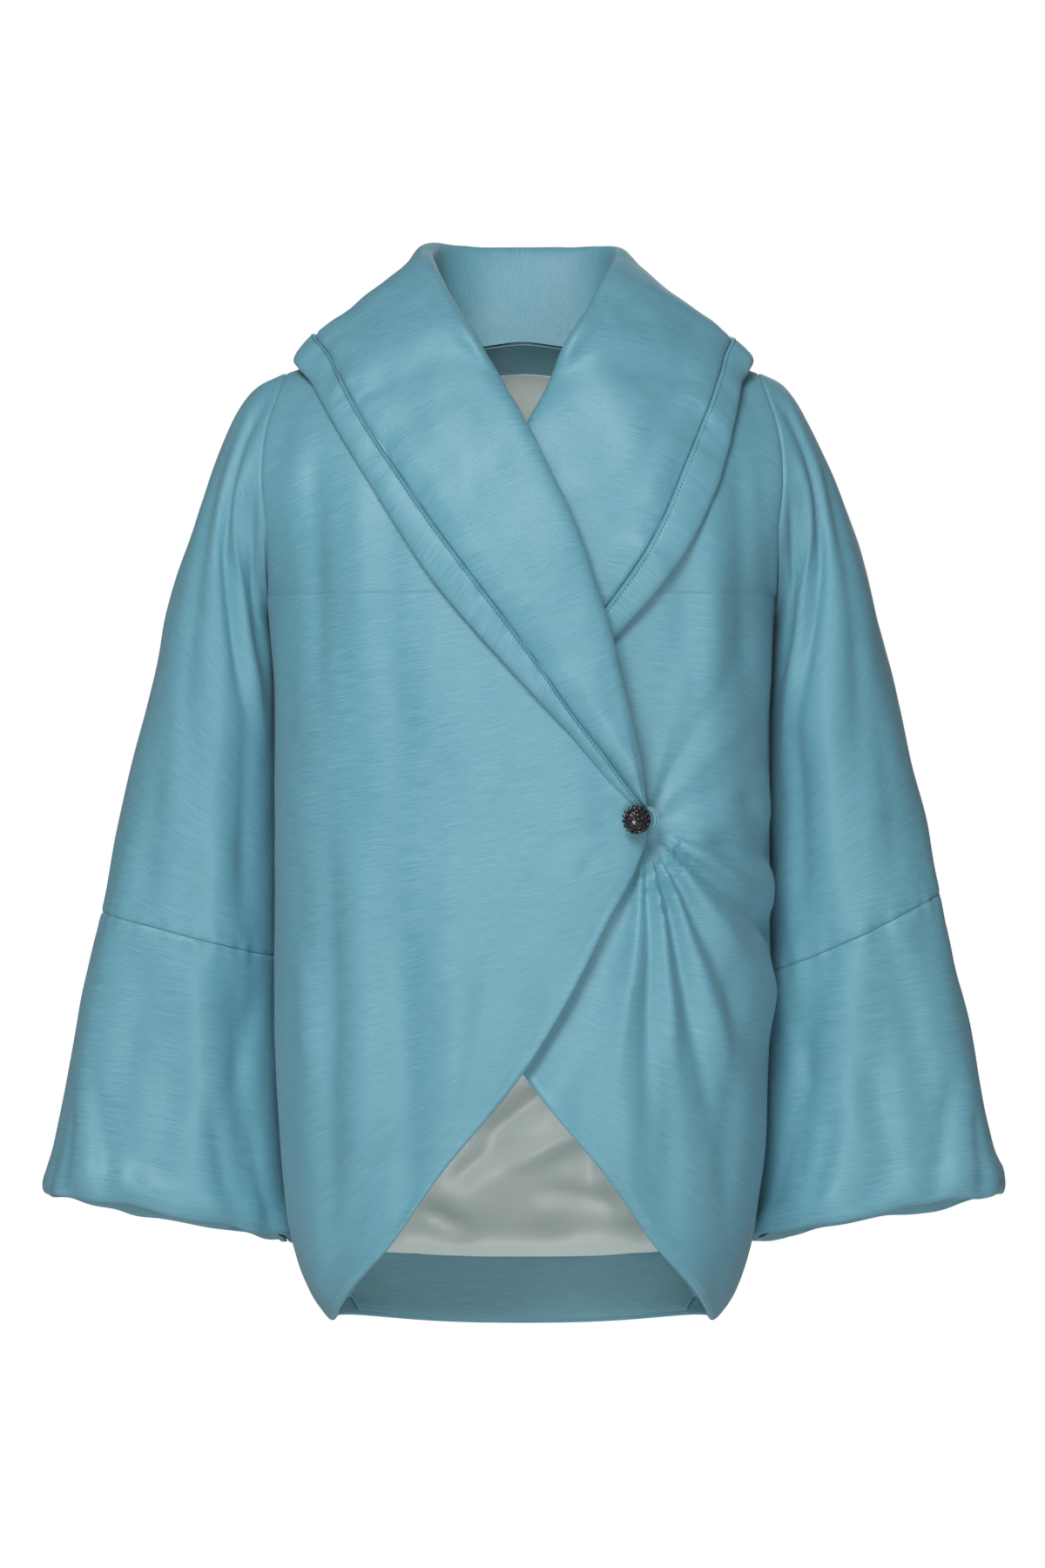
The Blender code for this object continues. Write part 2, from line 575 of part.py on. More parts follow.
button_drop = drop_at(*BUTTON_PLACE)
button_turn = turn_at(BUTTON_PLACE[0], button_drop)
turned = bmesh.new()
profile = [turned.verts.new((radius, 0, height)) for radius, height in BUTTON_PROFILE]
edges = [turned.edges.new(pair) for pair in zip(profile, profile[1:])]
bmesh.ops.spin(turned, geom=profile + edges, cent=(0, 0, 0), axis=(0, 0, 1), angle=2 * math.pi,
               steps=BUTTON_SPOKES, use_merge=True)
bmesh.ops.remove_doubles(turned, verts=turned.verts[:], dist=1e-6)
stand_on = Vector(laid(button_turn, button_drop, BUTTON_LIFT, False))
turned.transform(Matrix.Translation(stand_on) @ Vector(outward(button_turn, button_drop)).to_track_quat(
    "Z", "Y").to_matrix().to_4x4())
bmesh.ops.recalc_face_normals(turned, faces=turned.faces[:])
button_mesh = bpy.data.meshes.new("button")
turned.to_mesh(button_mesh)
turned.free()
add_object("button", button_mesh, *BEADS)

cord = bpy.data.curves.new("button_loop", "CURVE")
cord.dimensions = "3D"
cord.bevel_depth = LOOP_RADIUS
cord.bevel_resolution = 1
cord.resolution_u = 4
cord.use_fill_caps = True
strand = cord.splines.new("BEZIER")
strand.bezier_points.add(len(LOOP_POINTS) - 1)
for knot, (x, z) in zip(strand.bezier_points, LOOP_POINTS):
    drop = drop_at(x, z)
    knot.co = laid(turn_at(x, drop), drop, -WALL / 2, False)
    knot.handle_left_type = knot.handle_right_type = "AUTO"
guide = bpy.data.objects.new("button_loop_guide", cord)
collection.objects.link(guide)
loop_mesh = bpy.data.meshes.new_from_object(guide.evaluated_get(bpy.context.evaluated_depsgraph_get()))
bpy.data.objects.remove(guide, do_unlink=True)
welded = bmesh.new()
welded.from_mesh(loop_mesh)
bmesh.ops.remove_doubles(welded, verts=welded.verts[:], dist=1e-6)
welded.to_mesh(loop_mesh)
welded.free()
add_object("button_loop", loop_mesh, *SATIN)
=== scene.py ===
"""Padded satin wrap jacket with a shawl collar: cloth, seams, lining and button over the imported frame."""

import math

import bmesh
import bpy
import numpy as np
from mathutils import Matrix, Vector, noise


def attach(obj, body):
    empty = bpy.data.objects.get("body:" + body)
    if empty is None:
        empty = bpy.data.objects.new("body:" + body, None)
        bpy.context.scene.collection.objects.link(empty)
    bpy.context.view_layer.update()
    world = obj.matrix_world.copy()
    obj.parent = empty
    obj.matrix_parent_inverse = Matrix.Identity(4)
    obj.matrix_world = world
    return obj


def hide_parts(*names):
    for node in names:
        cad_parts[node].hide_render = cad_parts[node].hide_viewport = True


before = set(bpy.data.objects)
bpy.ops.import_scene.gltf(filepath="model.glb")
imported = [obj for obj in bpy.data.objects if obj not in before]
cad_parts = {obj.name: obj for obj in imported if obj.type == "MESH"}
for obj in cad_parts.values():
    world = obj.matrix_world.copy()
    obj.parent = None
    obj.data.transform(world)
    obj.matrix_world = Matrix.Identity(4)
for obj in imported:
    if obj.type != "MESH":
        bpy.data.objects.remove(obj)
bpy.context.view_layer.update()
bpy.ops.object.select_all(action="DESELECT")
scene = bpy.context.scene

# --- Studio ---
# A camera level with the middle of the jacket, one large soft light in front, a low one that reaches under
# the hem, weaker ones at the sides and behind, and a pale floor under the place where the wearer would stand.

EYE_HEIGHT = -0.369
EYE_DISTANCE = 4.2
FLOOR_BELOW = 1.45

camera = bpy.data.objects.new("camera", bpy.data.cameras.new("camera"))
camera.location = (0, -EYE_DISTANCE, EYE_HEIGHT)
camera.rotation_euler = (math.radians(90), 0, 0)
camera.data.lens = 120
camera.data.sensor_width = 36
scene.collection.objects.link(camera)
scene.camera = camera
scene.view_settings.view_transform = "Standard"

for name, place, size, power in (
    ("front_light", (-0.75, -3.05, 1.95), 1.5, 94),
    ("left_light", (-3.4, -1.6, 0.5), 1.6, 2.0),
    ("right_light", (3.4, -1.6, 0.3), 1.6, 2.0),
    ("low_light", (0.1, -2.6, -1.25), 1.0, 23),
    ("back_light", (0.6, 3.6, 1.2), 2.4, 22),
):
    lamp = bpy.data.lights.new(name, "AREA")
    lamp.size = size
    lamp.energy = power
    light = bpy.data.objects.new(name, lamp)
    light.location = place
    towards = Vector((0, 0, EYE_HEIGHT)) - Vector(place)
    light.rotation_euler = towards.to_track_quat("-Z", "Y").to_euler()
    scene.collection.objects.link(light)

world = bpy.data.worlds.new("studio")
world.use_nodes = True
scene.world = world
sky = world.node_tree
plain, dim = sky.nodes["Background"], sky.nodes.new("ShaderNodeBackground")
plain.inputs["Color"].default_value = (1, 1, 1, 1)
dim.inputs["Color"].default_value = (0.80, 0.90, 1.0, 1)
dim.inputs["Strength"].default_value = 0.14
seen, either = sky.nodes.new("ShaderNodeLightPath"), sky.nodes.new("ShaderNodeMixShader")
sky.links.new(seen.outputs["Is Camera Ray"], either.inputs["Fac"])
sky.links.new(dim.outputs[0], either.inputs[1])
sky.links.new(plain.outputs[0], either.inputs[2])
sky.links.new(either.outputs[0], sky.nodes["World Output"].inputs["Surface"])

bpy.ops.mesh.primitive_plane_add(size=5.6, location=(0, 0, -FLOOR_BELOW))
floor = bpy.context.active_object
floor.name = "floor"
floor_paint = bpy.data.materials.new("floor_paint")
floor_paint.use_nodes = True
floor_paint.node_tree.nodes["Principled BSDF"].inputs["Base Color"].default_value = (0.86, 0.86, 0.86, 1)
floor_paint.node_tree.nodes["Principled BSDF"].inputs["Roughness"].default_value = 0.8
floor.data.materials.append(floor_paint)
bpy.ops.object.select_all(action="DESELECT")


# --- Cloth ---
# The shell is a silk and wool satin with fine cross slubs, its wrong side is matt, and the lining is a pale
# satin. Each cloth reads its piece's own pattern, laid out in metres as the UV map: u runs along the slubs.


class Shade:
    """A node's output in a material. Arithmetic on it adds Math nodes."""

    def __init__(self, tree, socket=None):
        self.tree, self.socket = tree, socket

    def node(self, kind, settings=None, sockets=None, out=0):
        """Adds any other node: its settings first, then the values or links of its sockets."""
        made = self.tree.nodes.new(kind)
        for name, value in (settings or {}).items():
            setattr(made, name, value)
        for name, value in (sockets or {}).items():
            if isinstance(value, Shade):
                self.tree.links.new(value.socket, made.inputs[name])
            else:
                made.inputs[name].default_value = value
        return Shade(self.tree, made.outputs[out])

    def count(self, operation, first, second):
        return self.node("ShaderNodeMath", {"operation": operation}, {0: first, 1: second})

    def __add__(self, other):
        return self.count("ADD", self, other)

    def __sub__(self, other):
        return self.count("SUBTRACT", self, other)

    def __rsub__(self, other):
        return self.count("SUBTRACT", other, self)

    def __mul__(self, other):
        return self.count("MULTIPLY", self, other)

    def __pow__(self, other):
        return self.count("POWER", self, other)

    __radd__, __rmul__ = __add__, __mul__


def new_cloth(name, deep, light, roughness, slub, weave_height, specular, sheen):
    """Woven cloth. deep and light are its colours in and between the slubs, slub how strongly they show."""
    material = bpy.data.materials.new(name)
    material.use_nodes = True
    tree = material.node_tree
    start = Shade(tree)
    pattern = start.node("ShaderNodeUVMap", {"uv_map": "pattern"})

    def threads(length, width, detail):
        """Noise drawn out along the slubs: length and width of one streak in metres."""
        scale = (1 / length, 1 / width, 1)
        stretched = start.node("ShaderNodeMapping", {}, {"Vector": pattern, "Scale": scale})
        return start.node("ShaderNodeTexNoise", {"noise_dimensions": "2D"},
                          {"Vector": stretched, "Scale": 1.0, "Detail": detail, "Roughness": 0.55})

    long_slubs, short_slubs = threads(0.030, 0.0010, 1.0), threads(0.010, 0.0008, 1.0)
    weave = threads(0.0011, 0.0007, 0.0)
    cloudy = start.node("ShaderNodeTexNoise", {"noise_dimensions": "2D"},
                        {"Vector": pattern, "Scale": 9.0, "Detail": 2.0, "Roughness": 0.5})
    streaks = long_slubs * 0.6 + short_slubs * 0.4
    tone = 0.5 + (streaks - 0.5) * slub + (cloudy - 0.5) * 0.35
    colour = start.node("ShaderNodeMix", {"data_type": "RGBA"},
                        {0: tone, 6: (*deep, 1), 7: (*light, 1)}, out=2)
    height = streaks * 0.6 + weave * 0.4
    bump = start.node("ShaderNodeBump", {}, {"Height": height, "Strength": 1.0, "Distance": weave_height})
    shader = tree.nodes["Principled BSDF"]
    tree.links.new(colour.socket, shader.inputs["Base Color"])
    tree.links.new((roughness + (streaks - 0.5) * 0.35).socket, shader.inputs["Roughness"])
    tree.links.new(bump.socket, shader.inputs["Normal"])
    shader.inputs["Specular IOR Level"].default_value = specular
    shader.inputs["Sheen Weight"].default_value = sheen
    shader.inputs["Sheen Roughness"].default_value = 0.5
    return material


satin = new_cloth("shell_satin", (0.105, 0.325, 0.412), (0.195, 0.450, 0.545), roughness=0.47,
                  slub=1.7, weave_height=0.00036, specular=0.60, sheen=0.10)
facing_cloth = new_cloth("facing_cloth", (0.145, 0.350, 0.425), (0.235, 0.450, 0.515), roughness=0.65,
                         slub=1.6, weave_height=0.00036, specular=0.3, sheen=0.10)
lining_satin = new_cloth("lining_satin", (0.70, 0.79, 0.75), (0.78, 0.86, 0.82), roughness=0.40,
                         slub=0.6, weave_height=0.00008, specular=0.6, sheen=0.05)


# --- Body form ---
# The jacket as it hangs on its wearer. A drop is the way down from the shoulder seam and a turn the angle
# from the centre front. The panels, the collar and the sleeves all take their places from this form.

SQUARENESS = 2.5
LENGTH = 0.800
YOKE = 0.200
NECK_HALF = 0.075
NECK_SOFT = 0.030
SHOULDER_SLOPE = 0.335
BACK_DIP = 0.014
UNDERARM = 0.220
ARM_DEPTH = 0.60
WALL = 0.005
LAYER_GAP = 0.0020
HALF_WIDTH = ((0, 0.2165), (0.04, 0.2300), (0.08, 0.2345), (0.12, 0.2315), (0.17, 0.2180), (0.22, 0.2045),
              (0.28, 0.1995), (0.38, 0.1985), (0.52, 0.1990), (0.62, 0.1965), (0.69, 0.1910), (0.74, 0.1835),
              (0.765, 0.1755), (0.785, 0.1655), (0.80, 0.1530))
FRONT_DEPTH = ((0, 0.128), (0.10, 0.130), (0.20, 0.137), (0.35, 0.142), (0.55, 0.142), (0.70, 0.134),
               (0.80, 0.118))
BACK_DEPTH = ((0, 0.120), (0.10, 0.122), (0.20, 0.128), (0.40, 0.128), (0.60, 0.130), (0.72, 0.126),
              (0.80, 0.116))


def ease(rows):
    """A smooth curve through rows of (place, values...), read at any place."""
    table = np.array(rows, float)
    places, values = table[:, 0], table[:, 1:]
    slopes = np.gradient(values, places, axis=0)

    def read(place):
        place = np.clip(np.asarray(place, float), places[0], places[-1])
        i = np.clip(np.searchsorted(places, place, side="right") - 1, 0, len(places) - 2)
        step = (places[i + 1] - places[i])[..., None]
        t = (place - places[i])[..., None] / step
        curve = (
            (1 + 2 * t) * (1 - t) ** 2 * values[i]
            + t * (1 - t) ** 2 * step * slopes[i]
            + t**2 * (3 - 2 * t) * values[i + 1]
            + t**2 * (t - 1) * step * slopes[i + 1]
        )
        return curve[..., 0] if values.shape[1] == 1 else curve

    return read


def ramp(t):
    """0 to 1 with soft ends."""
    t = np.clip(t, 0, 1)
    return t * t * (3 - 2 * t)


def unit(vectors):
    return vectors / np.linalg.norm(vectors, axis=-1, keepdims=True)


half_width, front_depth, back_depth = ease(HALF_WIDTH), ease(FRONT_DEPTH), ease(BACK_DEPTH)


def shoulder(x, drop):
    """Height that the slope of the shoulder adds, fading out down the yoke."""
    return SHOULDER_SLOPE * (NECK_HALF - np.hypot(x, NECK_SOFT)) * (1 - ramp(drop / YOKE))


def form(turn, drop):
    side, fore = np.sin(turn), np.cos(turn)
    arch = np.sqrt(1 - (1 - np.clip(drop / YOKE, 0, 1)) ** 2)
    depth = np.where(fore >= 0, front_depth(drop), back_depth(drop)) * arch
    x = half_width(drop) * np.sign(side) * np.abs(side) ** (2 / SQUARENESS)
    y = -depth * np.sign(fore) * np.abs(fore) ** (2 / SQUARENESS)
    dip = BACK_DIP * np.clip(-fore, 0, 1) ** 2 * (drop / LENGTH) ** 4
    return np.stack([x, y, shoulder(x, drop) - drop - dip], axis=-1)


def outward(turn, drop):
    """Unit normal of the form. On the shoulder seam it leans neither forwards nor back."""
    along = form(turn + 0.01, drop) - form(turn - 0.01, drop)
    down = form(turn, np.minimum(drop + 0.002, LENGTH)) - form(turn, np.maximum(drop - 0.002, 0))
    normal = np.cross(down, along)
    normal[..., 1] = np.where(drop < 1e-6, 0, normal[..., 1])
    return unit(normal)


def turn_at(x, drop):
    """Turn, on the front half, where the section at this drop has this x."""
    share = np.clip(np.abs(x) / half_width(drop), 0, 1)
    return np.sign(x) * np.arcsin(share ** (SQUARENESS / 2))


def drop_at(x, z):
    drop = -np.asarray(z, float)
    for _ in range(12):
        drop = np.clip(shoulder(x, drop) - z, 0, LENGTH)
    return drop


def armhole_turn(drop):
    share = ARM_DEPTH * np.sqrt(1 - np.clip(drop / UNDERARM, 0, 1) ** 4)
    return np.arccos(share ** (SQUARENESS / 2))


def armhole_rim(turn, drop):
    """Direction through the wall at the armhole: square to the panel above, straight up under the arm."""
    up = (np.clip(drop / UNDERARM, 0, 1) ** 6)[..., None]
    return unit(-outward(turn, drop) * (1 - up) + np.array([0, 0, 1.0]) * up)


# --- Padding and seams ---
# Each padded piece is one closed wall. Its cloth rounds down into every seam, rolls over at a free edge, and
# is uneven where the wadding is. Creases are soft troughs and ridges, and puckers run off the seams.

CLOSE_STEPS = np.array([0, 0.0003, 0.0009, 0.0018, 0.0030, 0.0046, 0.0068, 0.0095])
GRAIN = 0.0045
SEAM_DEPTH = 0.0017
SEAM_REACH = 0.0055
ROLL_REACH = 0.0050


def steps_along(length, spacing=GRAIN):
    """Places from 0 to length in metres: close together near both ends, evenly spaced between."""
    inner = CLOSE_STEPS[-1]
    count = max(int((length - 2 * inner) / spacing), 2)
    return np.concatenate([CLOSE_STEPS[:-1], np.linspace(inner, length - inner, count + 1),
                           length - CLOSE_STEPS[-2::-1]])


def spaced_rows(surface, low, high, count):
    """Values between low and high at which each row of a surface is evenly spaced, and the way along it.

    surface takes an array (rows, samples) and gives points; low and high hold one value for each row."""
    samples = low[:, None] + (high - low)[:, None] * np.linspace(0, 1, 61)
    points = surface(samples)
    lengths = np.linalg.norm(np.diff(points, axis=1), axis=-1)
    way = np.concatenate([np.zeros((len(low), 1)), np.cumsum(lengths, axis=1)], axis=1)
    totals = way[:, -1]
    inner = CLOSE_STEPS[-1]
    near, middle = CLOSE_STEPS[:-1], np.linspace(0, 1, count)
    wanted = np.array([
        np.concatenate([near, inner + (total - 2 * inner) * middle, total - near[::-1]]) for total in totals
    ])
    values = np.array([np.interp(w, one_way, row) for w, one_way, row in zip(wanted, way, samples)])
    return values, wanted


def bulge(distance, reach):
    """0 on an edge, rising like a quarter circle to 1 at this reach from it."""
    return np.sqrt(1 - (1 - np.clip(distance / reach, 0, 1)) ** 2)


def crease(across, down, start, end, width, depth):
    """Lift of one soft crease along a straight line: a trough this deep, or a ridge if depth is negative."""
    a, b = np.array(start), np.array(end)
    way = b - a
    length = math.hypot(*way)
    along = ((across - a[0]) * way[0] + (down - a[1]) * way[1]) / length**2
    aside = ((across - a[0]) * way[1] - (down - a[1]) * way[0]) / length
    ends = ramp((along + 0.25) / 0.5) * ramp((1.25 - along) / 0.5)
    return -depth * np.exp(-((aside / width) ** 2)) * ends


def uneven(points, size, strength, seed):
    """Soft unevenness of the padding: strength in metres, size that of one swell along x, y and z."""
    scaled = points / np.array(size) + seed
    values = [noise.noise(Vector(p)) for p in scaled.reshape(-1, 3)]
    return strength * np.array(values).reshape(points.shape[:-1])


def puckers(along, distance, pitch, strength, reach, seed):
    """Small gathers that run off a seam, fading within reach of it. along is the way down the seam."""
    along, distance = np.broadcast_arrays(along, distance)
    places = np.stack([along / pitch, np.full(along.shape, seed), distance / (3 * reach)], axis=-1)
    wave = np.array([noise.noise(Vector(p)) for p in places.reshape(-1, 3)]).reshape(along.shape)
    return strength * wave * np.exp(-((distance / reach) ** 1.5))


def new_piece(name, nodes, points, faces, uvs, finishes, finish_of_face):
    """A finished mesh object that rides on the jacket and stands for these CAD nodes."""
    mesh = bpy.data.meshes.new(name)
    mesh.from_pydata(points.tolist(), [], faces.tolist())
    layer = mesh.uv_layers.new(name="pattern")
    layer.data.foreach_set("uv", uvs.astype(np.float32).ravel())
    for finish in finishes:
        mesh.materials.append(finish)
    mesh.polygons.foreach_set("material_index", finish_of_face)
    shell = bmesh.new()
    shell.from_mesh(mesh)
    if shell.calc_volume(signed=True) < 0:
        bmesh.ops.reverse_faces(shell, faces=shell.faces[:])
    shell.to_mesh(mesh)
    shell.free()
    mesh.shade_smooth()
    mesh.set_sharp_from_angle(angle=math.radians(70))
    piece = bpy.data.objects.new(name, mesh)
    scene.collection.objects.link(piece)
    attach(piece, "root")
    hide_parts(*nodes)
    return piece


def sew_wall(name, nodes, outer, inner, across, down, finishes, girth=None, lined=None):
    """One closed wall between two grids of points. With a girth it is a tube, and its last column joins
    its first. across and down lay the piece out flat, and the second finish is its inner side where lined."""
    rows, columns = outer.shape[:2]
    points = np.concatenate([outer.reshape(-1, 3), inner.reshape(-1, 3)])
    index = np.arange(rows * columns).reshape(rows, columns)
    if girth is not None:
        index = np.concatenate([index, index[:, :1]], axis=1)
        across = np.concatenate([across, across[:, :1] + girth], axis=1)
        down = np.concatenate([down, down[:, :1]], axis=1)
    flat = np.stack([across, down], axis=-1)
    under = index + rows * columns

    def quads(a, b, c, d):
        return np.stack([a, b, c, d], axis=-1).reshape(-1, 4)

    def corners(a, b, c, d):
        return np.stack([a, b, c, d], axis=-2).reshape(-1, 4, 2)

    square = (np.s_[:-1, :-1], np.s_[:-1, 1:], np.s_[1:, 1:], np.s_[1:, :-1])
    faces = [quads(*(index[s] for s in square)), quads(*(under[s] for s in square[::-1]))]
    uvs = [corners(*(flat[s] for s in square)), corners(*(flat[s] for s in square[::-1]))]
    for row, first, last in ((0, np.s_[1:], np.s_[:-1]), (-1, np.s_[:-1], np.s_[1:])):
        faces.append(quads(index[row][first], index[row][last], under[row][last], under[row][first]))
        uvs.append(corners(flat[row][first], flat[row][last], flat[row][last], flat[row][first]))
    if girth is None:
        for column, first, last in ((0, np.s_[:-1], np.s_[1:]), (-1, np.s_[1:], np.s_[:-1])):
            a, b = index[first, column], index[last, column]
            faces.append(quads(a, b, under[last, column], under[first, column]))
            a, b = flat[first, column], flat[last, column]
            uvs.append(corners(a, b, b, a))
    finish_of_face = np.zeros(sum(map(len, faces)), int)
    if lined is not None:
        if girth is not None:
            lined = np.concatenate([lined, lined[:, :1]], axis=1)
        finish_of_face[len(faces[0]):len(faces[0]) + len(faces[1])] = lined[:-1, :-1].reshape(-1)
    return new_piece(name, nodes, points, np.concatenate(faces), np.concatenate(uvs), finishes,
                     finish_of_face)


def mirrored(grid):
    return grid * np.array([-1, 1, 1])


# --- Fronts ---
# Two padded panels with a long curved front edge. The wearer's right one laps over, with the button beside
# its edge. The left one lies under it and is gathered where the loop pulls it, so folds fan out from there.
# Each cloth's pattern is its width and length laid flat.

FRONT_EDGE = ((-0.03, -0.075), (0.0, -0.075), (0.012, -0.068), (0.032, -0.056), (0.056, -0.043),
              (0.096, -0.020), (0.138, 0.002), (0.181, 0.0205), (0.232, 0.038), (0.301, 0.0545),
              (0.330, 0.0580), (0.355, 0.0665), (0.378, 0.0820), (0.391, 0.0940), (0.402, 0.0980),
              (0.431, 0.0907), (0.478, 0.0663), (0.525, 0.0426), (0.594, 0.0007), (0.680, -0.069),
              (0.7305, -0.104), (0.773, -0.1390), (0.792, -0.1475), (0.82, -0.1490))
ROLL_FRONT = ((0.40, -0.0212, -0.0441, 0.005), (0.50, 0.0014, -0.084, 0.005), (0.58, 0.0237, -0.1261, 0.005),
              (0.67, 0.0439, -0.1731, 0.005), (0.76, 0.0621, -0.2244, 0.005), (0.87, 0.079, -0.2967, 0.005),
              (0.96, 0.0919, -0.3589, 0.004), (1.0, 0.0962, -0.3870, 0.003))
GATHER_PLACE = (0.1010, -0.4030)
OVERLAP_DROP = 0.022
EDGE_DROP = 0.0125
EDGE_SEAM = 0.0062
CORNER_RISE = 0.008
CUTAWAY_START = 0.43
FACED = 0.040

front_edge, roll_edge = ease(FRONT_EDGE), ease([(-z, x) for _, x, z, _ in ROLL_FRONT])

# Folds that fan out from the gather: degrees from straight down towards the side, width in degrees, height.
FAN = ((-16, 4.0, -0.0020), (-8, 3.0, 0.0044), (-1, 2.3, -0.0050), (6, 2.5, 0.0050), (12, 2.3, -0.0054),
       (19, 3.0, 0.0050), (26, 2.9, -0.0050), (36, 4.6, 0.0056), (50, 4.2, -0.0080), (62, 6.0, 0.0044),
       (76, 5.0, -0.0034), (96, 8.0, 0.0030), (118, 6.0, -0.0028), (138, 6.0, 0.0030), (153, 4.5, -0.0036),
       (166, 4.5, 0.0030))
OVER_CREASES = (
    # start and end as (x, z), width, depth
    ((-0.096, -0.48), (-0.088, -0.72), 0.014, 0.0051), ((-0.128, -0.44), (-0.126, -0.70), 0.012, -0.0036),
    ((-0.152, -0.40), (-0.150, -0.74), 0.010, 0.0045), ((-0.055, -0.42), (-0.060, -0.62), 0.018, -0.0030),
    ((-0.020, -0.50), (-0.050, -0.66), 0.012, 0.0027), ((-0.135, -0.10), (-0.120, -0.30), 0.016, -0.0024),
    ((-0.105, -0.14), (-0.098, -0.34), 0.014, 0.0027), ((-0.165, -0.12), (-0.160, -0.30), 0.010, 0.0039),
    ((0.020, -0.42), (0.070, -0.40), 0.006, 0.0015), ((0.045, -0.44), (0.056, -0.425), 0.004, 0.0018),
    ((-0.175, -0.50), (-0.165, -0.60), 0.008, -0.0036), ((-0.140, -0.735), (-0.115, -0.66), 0.010, 0.0033),
)
UNDER_CREASES = (
    ((0.178, -0.375), (0.199, -0.425), 0.010, 0.0060), ((0.150, -0.41), (0.198, -0.46), 0.009, 0.0045),
    ((0.120, -0.14), (0.135, -0.28), 0.012, 0.0027), ((0.150, -0.13), (0.150, -0.33), 0.012, -0.0030),
    ((0.172, -0.12), (0.178, -0.30), 0.010, 0.0036), ((0.170, -0.52), (0.160, -0.70), 0.010, 0.0036),
    ((0.125, -0.56), (0.110, -0.70), 0.012, 0.0024), ((0.085, -0.60), (0.080, -0.70), 0.012, -0.0027),
)


def sunk(x, z):
    """How far the under front lies inside the form, below the over front, its collar and their edge."""
    beyond = x - np.maximum(front_edge(-z), np.where(z > -0.392, roll_edge(-z), -1))
    low = ramp((-0.36 - z) / 0.07)
    depth = OVERLAP_DROP * (1 - low) + EDGE_DROP * low
    reach = 0.090 * (1 - low) + 0.045 * low
    return depth * (1 - ramp(beyond / reach))


def fanned(x, z):
    """Folds of the under front that fan out from the gather, and the pull at it."""
    across, down = x - GATHER_PLACE[0], GATHER_PLACE[1] - z
    reach = np.hypot(across, down)
    angle = np.degrees(np.arctan2(across, down))
    window = ramp((reach - 0.003) / 0.026) * (1 - ramp((reach - 0.13) / 0.20))
    behind = 1 - 0.5 * ramp((np.abs(angle) - 75) / 30)
    folds = 0
    for at, width, height in FAN:
        breadth = np.maximum(np.radians(width) * reach, 0.0032)
        folds = folds + height * np.exp(-((np.radians(angle - at) * reach / breadth) ** 2))
    return folds * window * behind - 0.003 * np.exp(-((reach / 0.024) ** 2))


def laid(turn, drop, lift, under):
    """Point lifted off the panel at this turn and drop. under picks the front that lies below."""
    point, normal = form(turn, drop), outward(turn, drop)
    lift = np.broadcast_to(lift, np.shape(drop)).astype(float)
    if under:
        lift = lift - sunk(-point[..., 0], point[..., 2])
    return point + normal * lift[..., None]


panel_drops = np.concatenate([
    UNDERARM * (1 - np.cos(np.linspace(0, math.pi, 60))) / 2,
    UNDERARM + steps_along(LENGTH - UNDERARM)[8:],
])


def panel_wall(turn, drop, way, lift, rim_columns, from_top, edge_free=False, under=False):
    """Outer and inner skin of a body panel. way is each point's way across its row, lift its creases."""
    base = laid(turn, drop, 0, under)
    to_start, to_end = way, way[:, -1:] - way
    from_hem = LENGTH - drop
    calm = ramp(to_start / 0.026) * ramp(to_end / (0.012 if edge_free else 0.026)) * ramp(from_hem / 0.02)
    calm = calm * ramp(from_top / 0.02)
    inwards = -outward(turn, drop)
    for column, distance in rim_columns:
        above = (1 - ramp(distance / 0.015)) * (drop <= UNDERARM + 1e-6)
        rim = armhole_rim(turn[:, column], drop[:, column])[:, None]
        inwards = unit(inwards * (1 - above[..., None]) + rim * above[..., None])
    seams = [bulge(from_top, SEAM_REACH), bulge(to_start, SEAM_REACH)]
    rolls = [bulge(from_hem, ROLL_REACH)]
    (rolls if edge_free else seams).append(bulge(to_end, SEAM_REACH if not edge_free else ROLL_REACH))
    seam, roll = np.minimum.reduce(seams), np.minimum.reduce(rolls)
    outer_depth = np.maximum(SEAM_DEPTH * (1 - seam), (WALL / 2 - 0.0001) * (1 - roll))
    inner_depth = np.minimum(WALL, WALL / 2 + 0.0001 + (WALL / 2 - 0.0001) * roll)
    moved = base - inwards * (lift * calm)[..., None]
    if edge_free:
        moved[..., 2] += CORNER_RISE * np.exp(-to_end / 0.010 - from_hem / 0.012)
    return moved + inwards * outer_depth[..., None], moved + inwards * inner_depth[..., None]


def way_down(points):
    steps = np.linalg.norm(np.diff(points, axis=0), axis=-1)
    return np.concatenate([np.zeros((1, points.shape[1])), np.cumsum(steps, axis=0)])


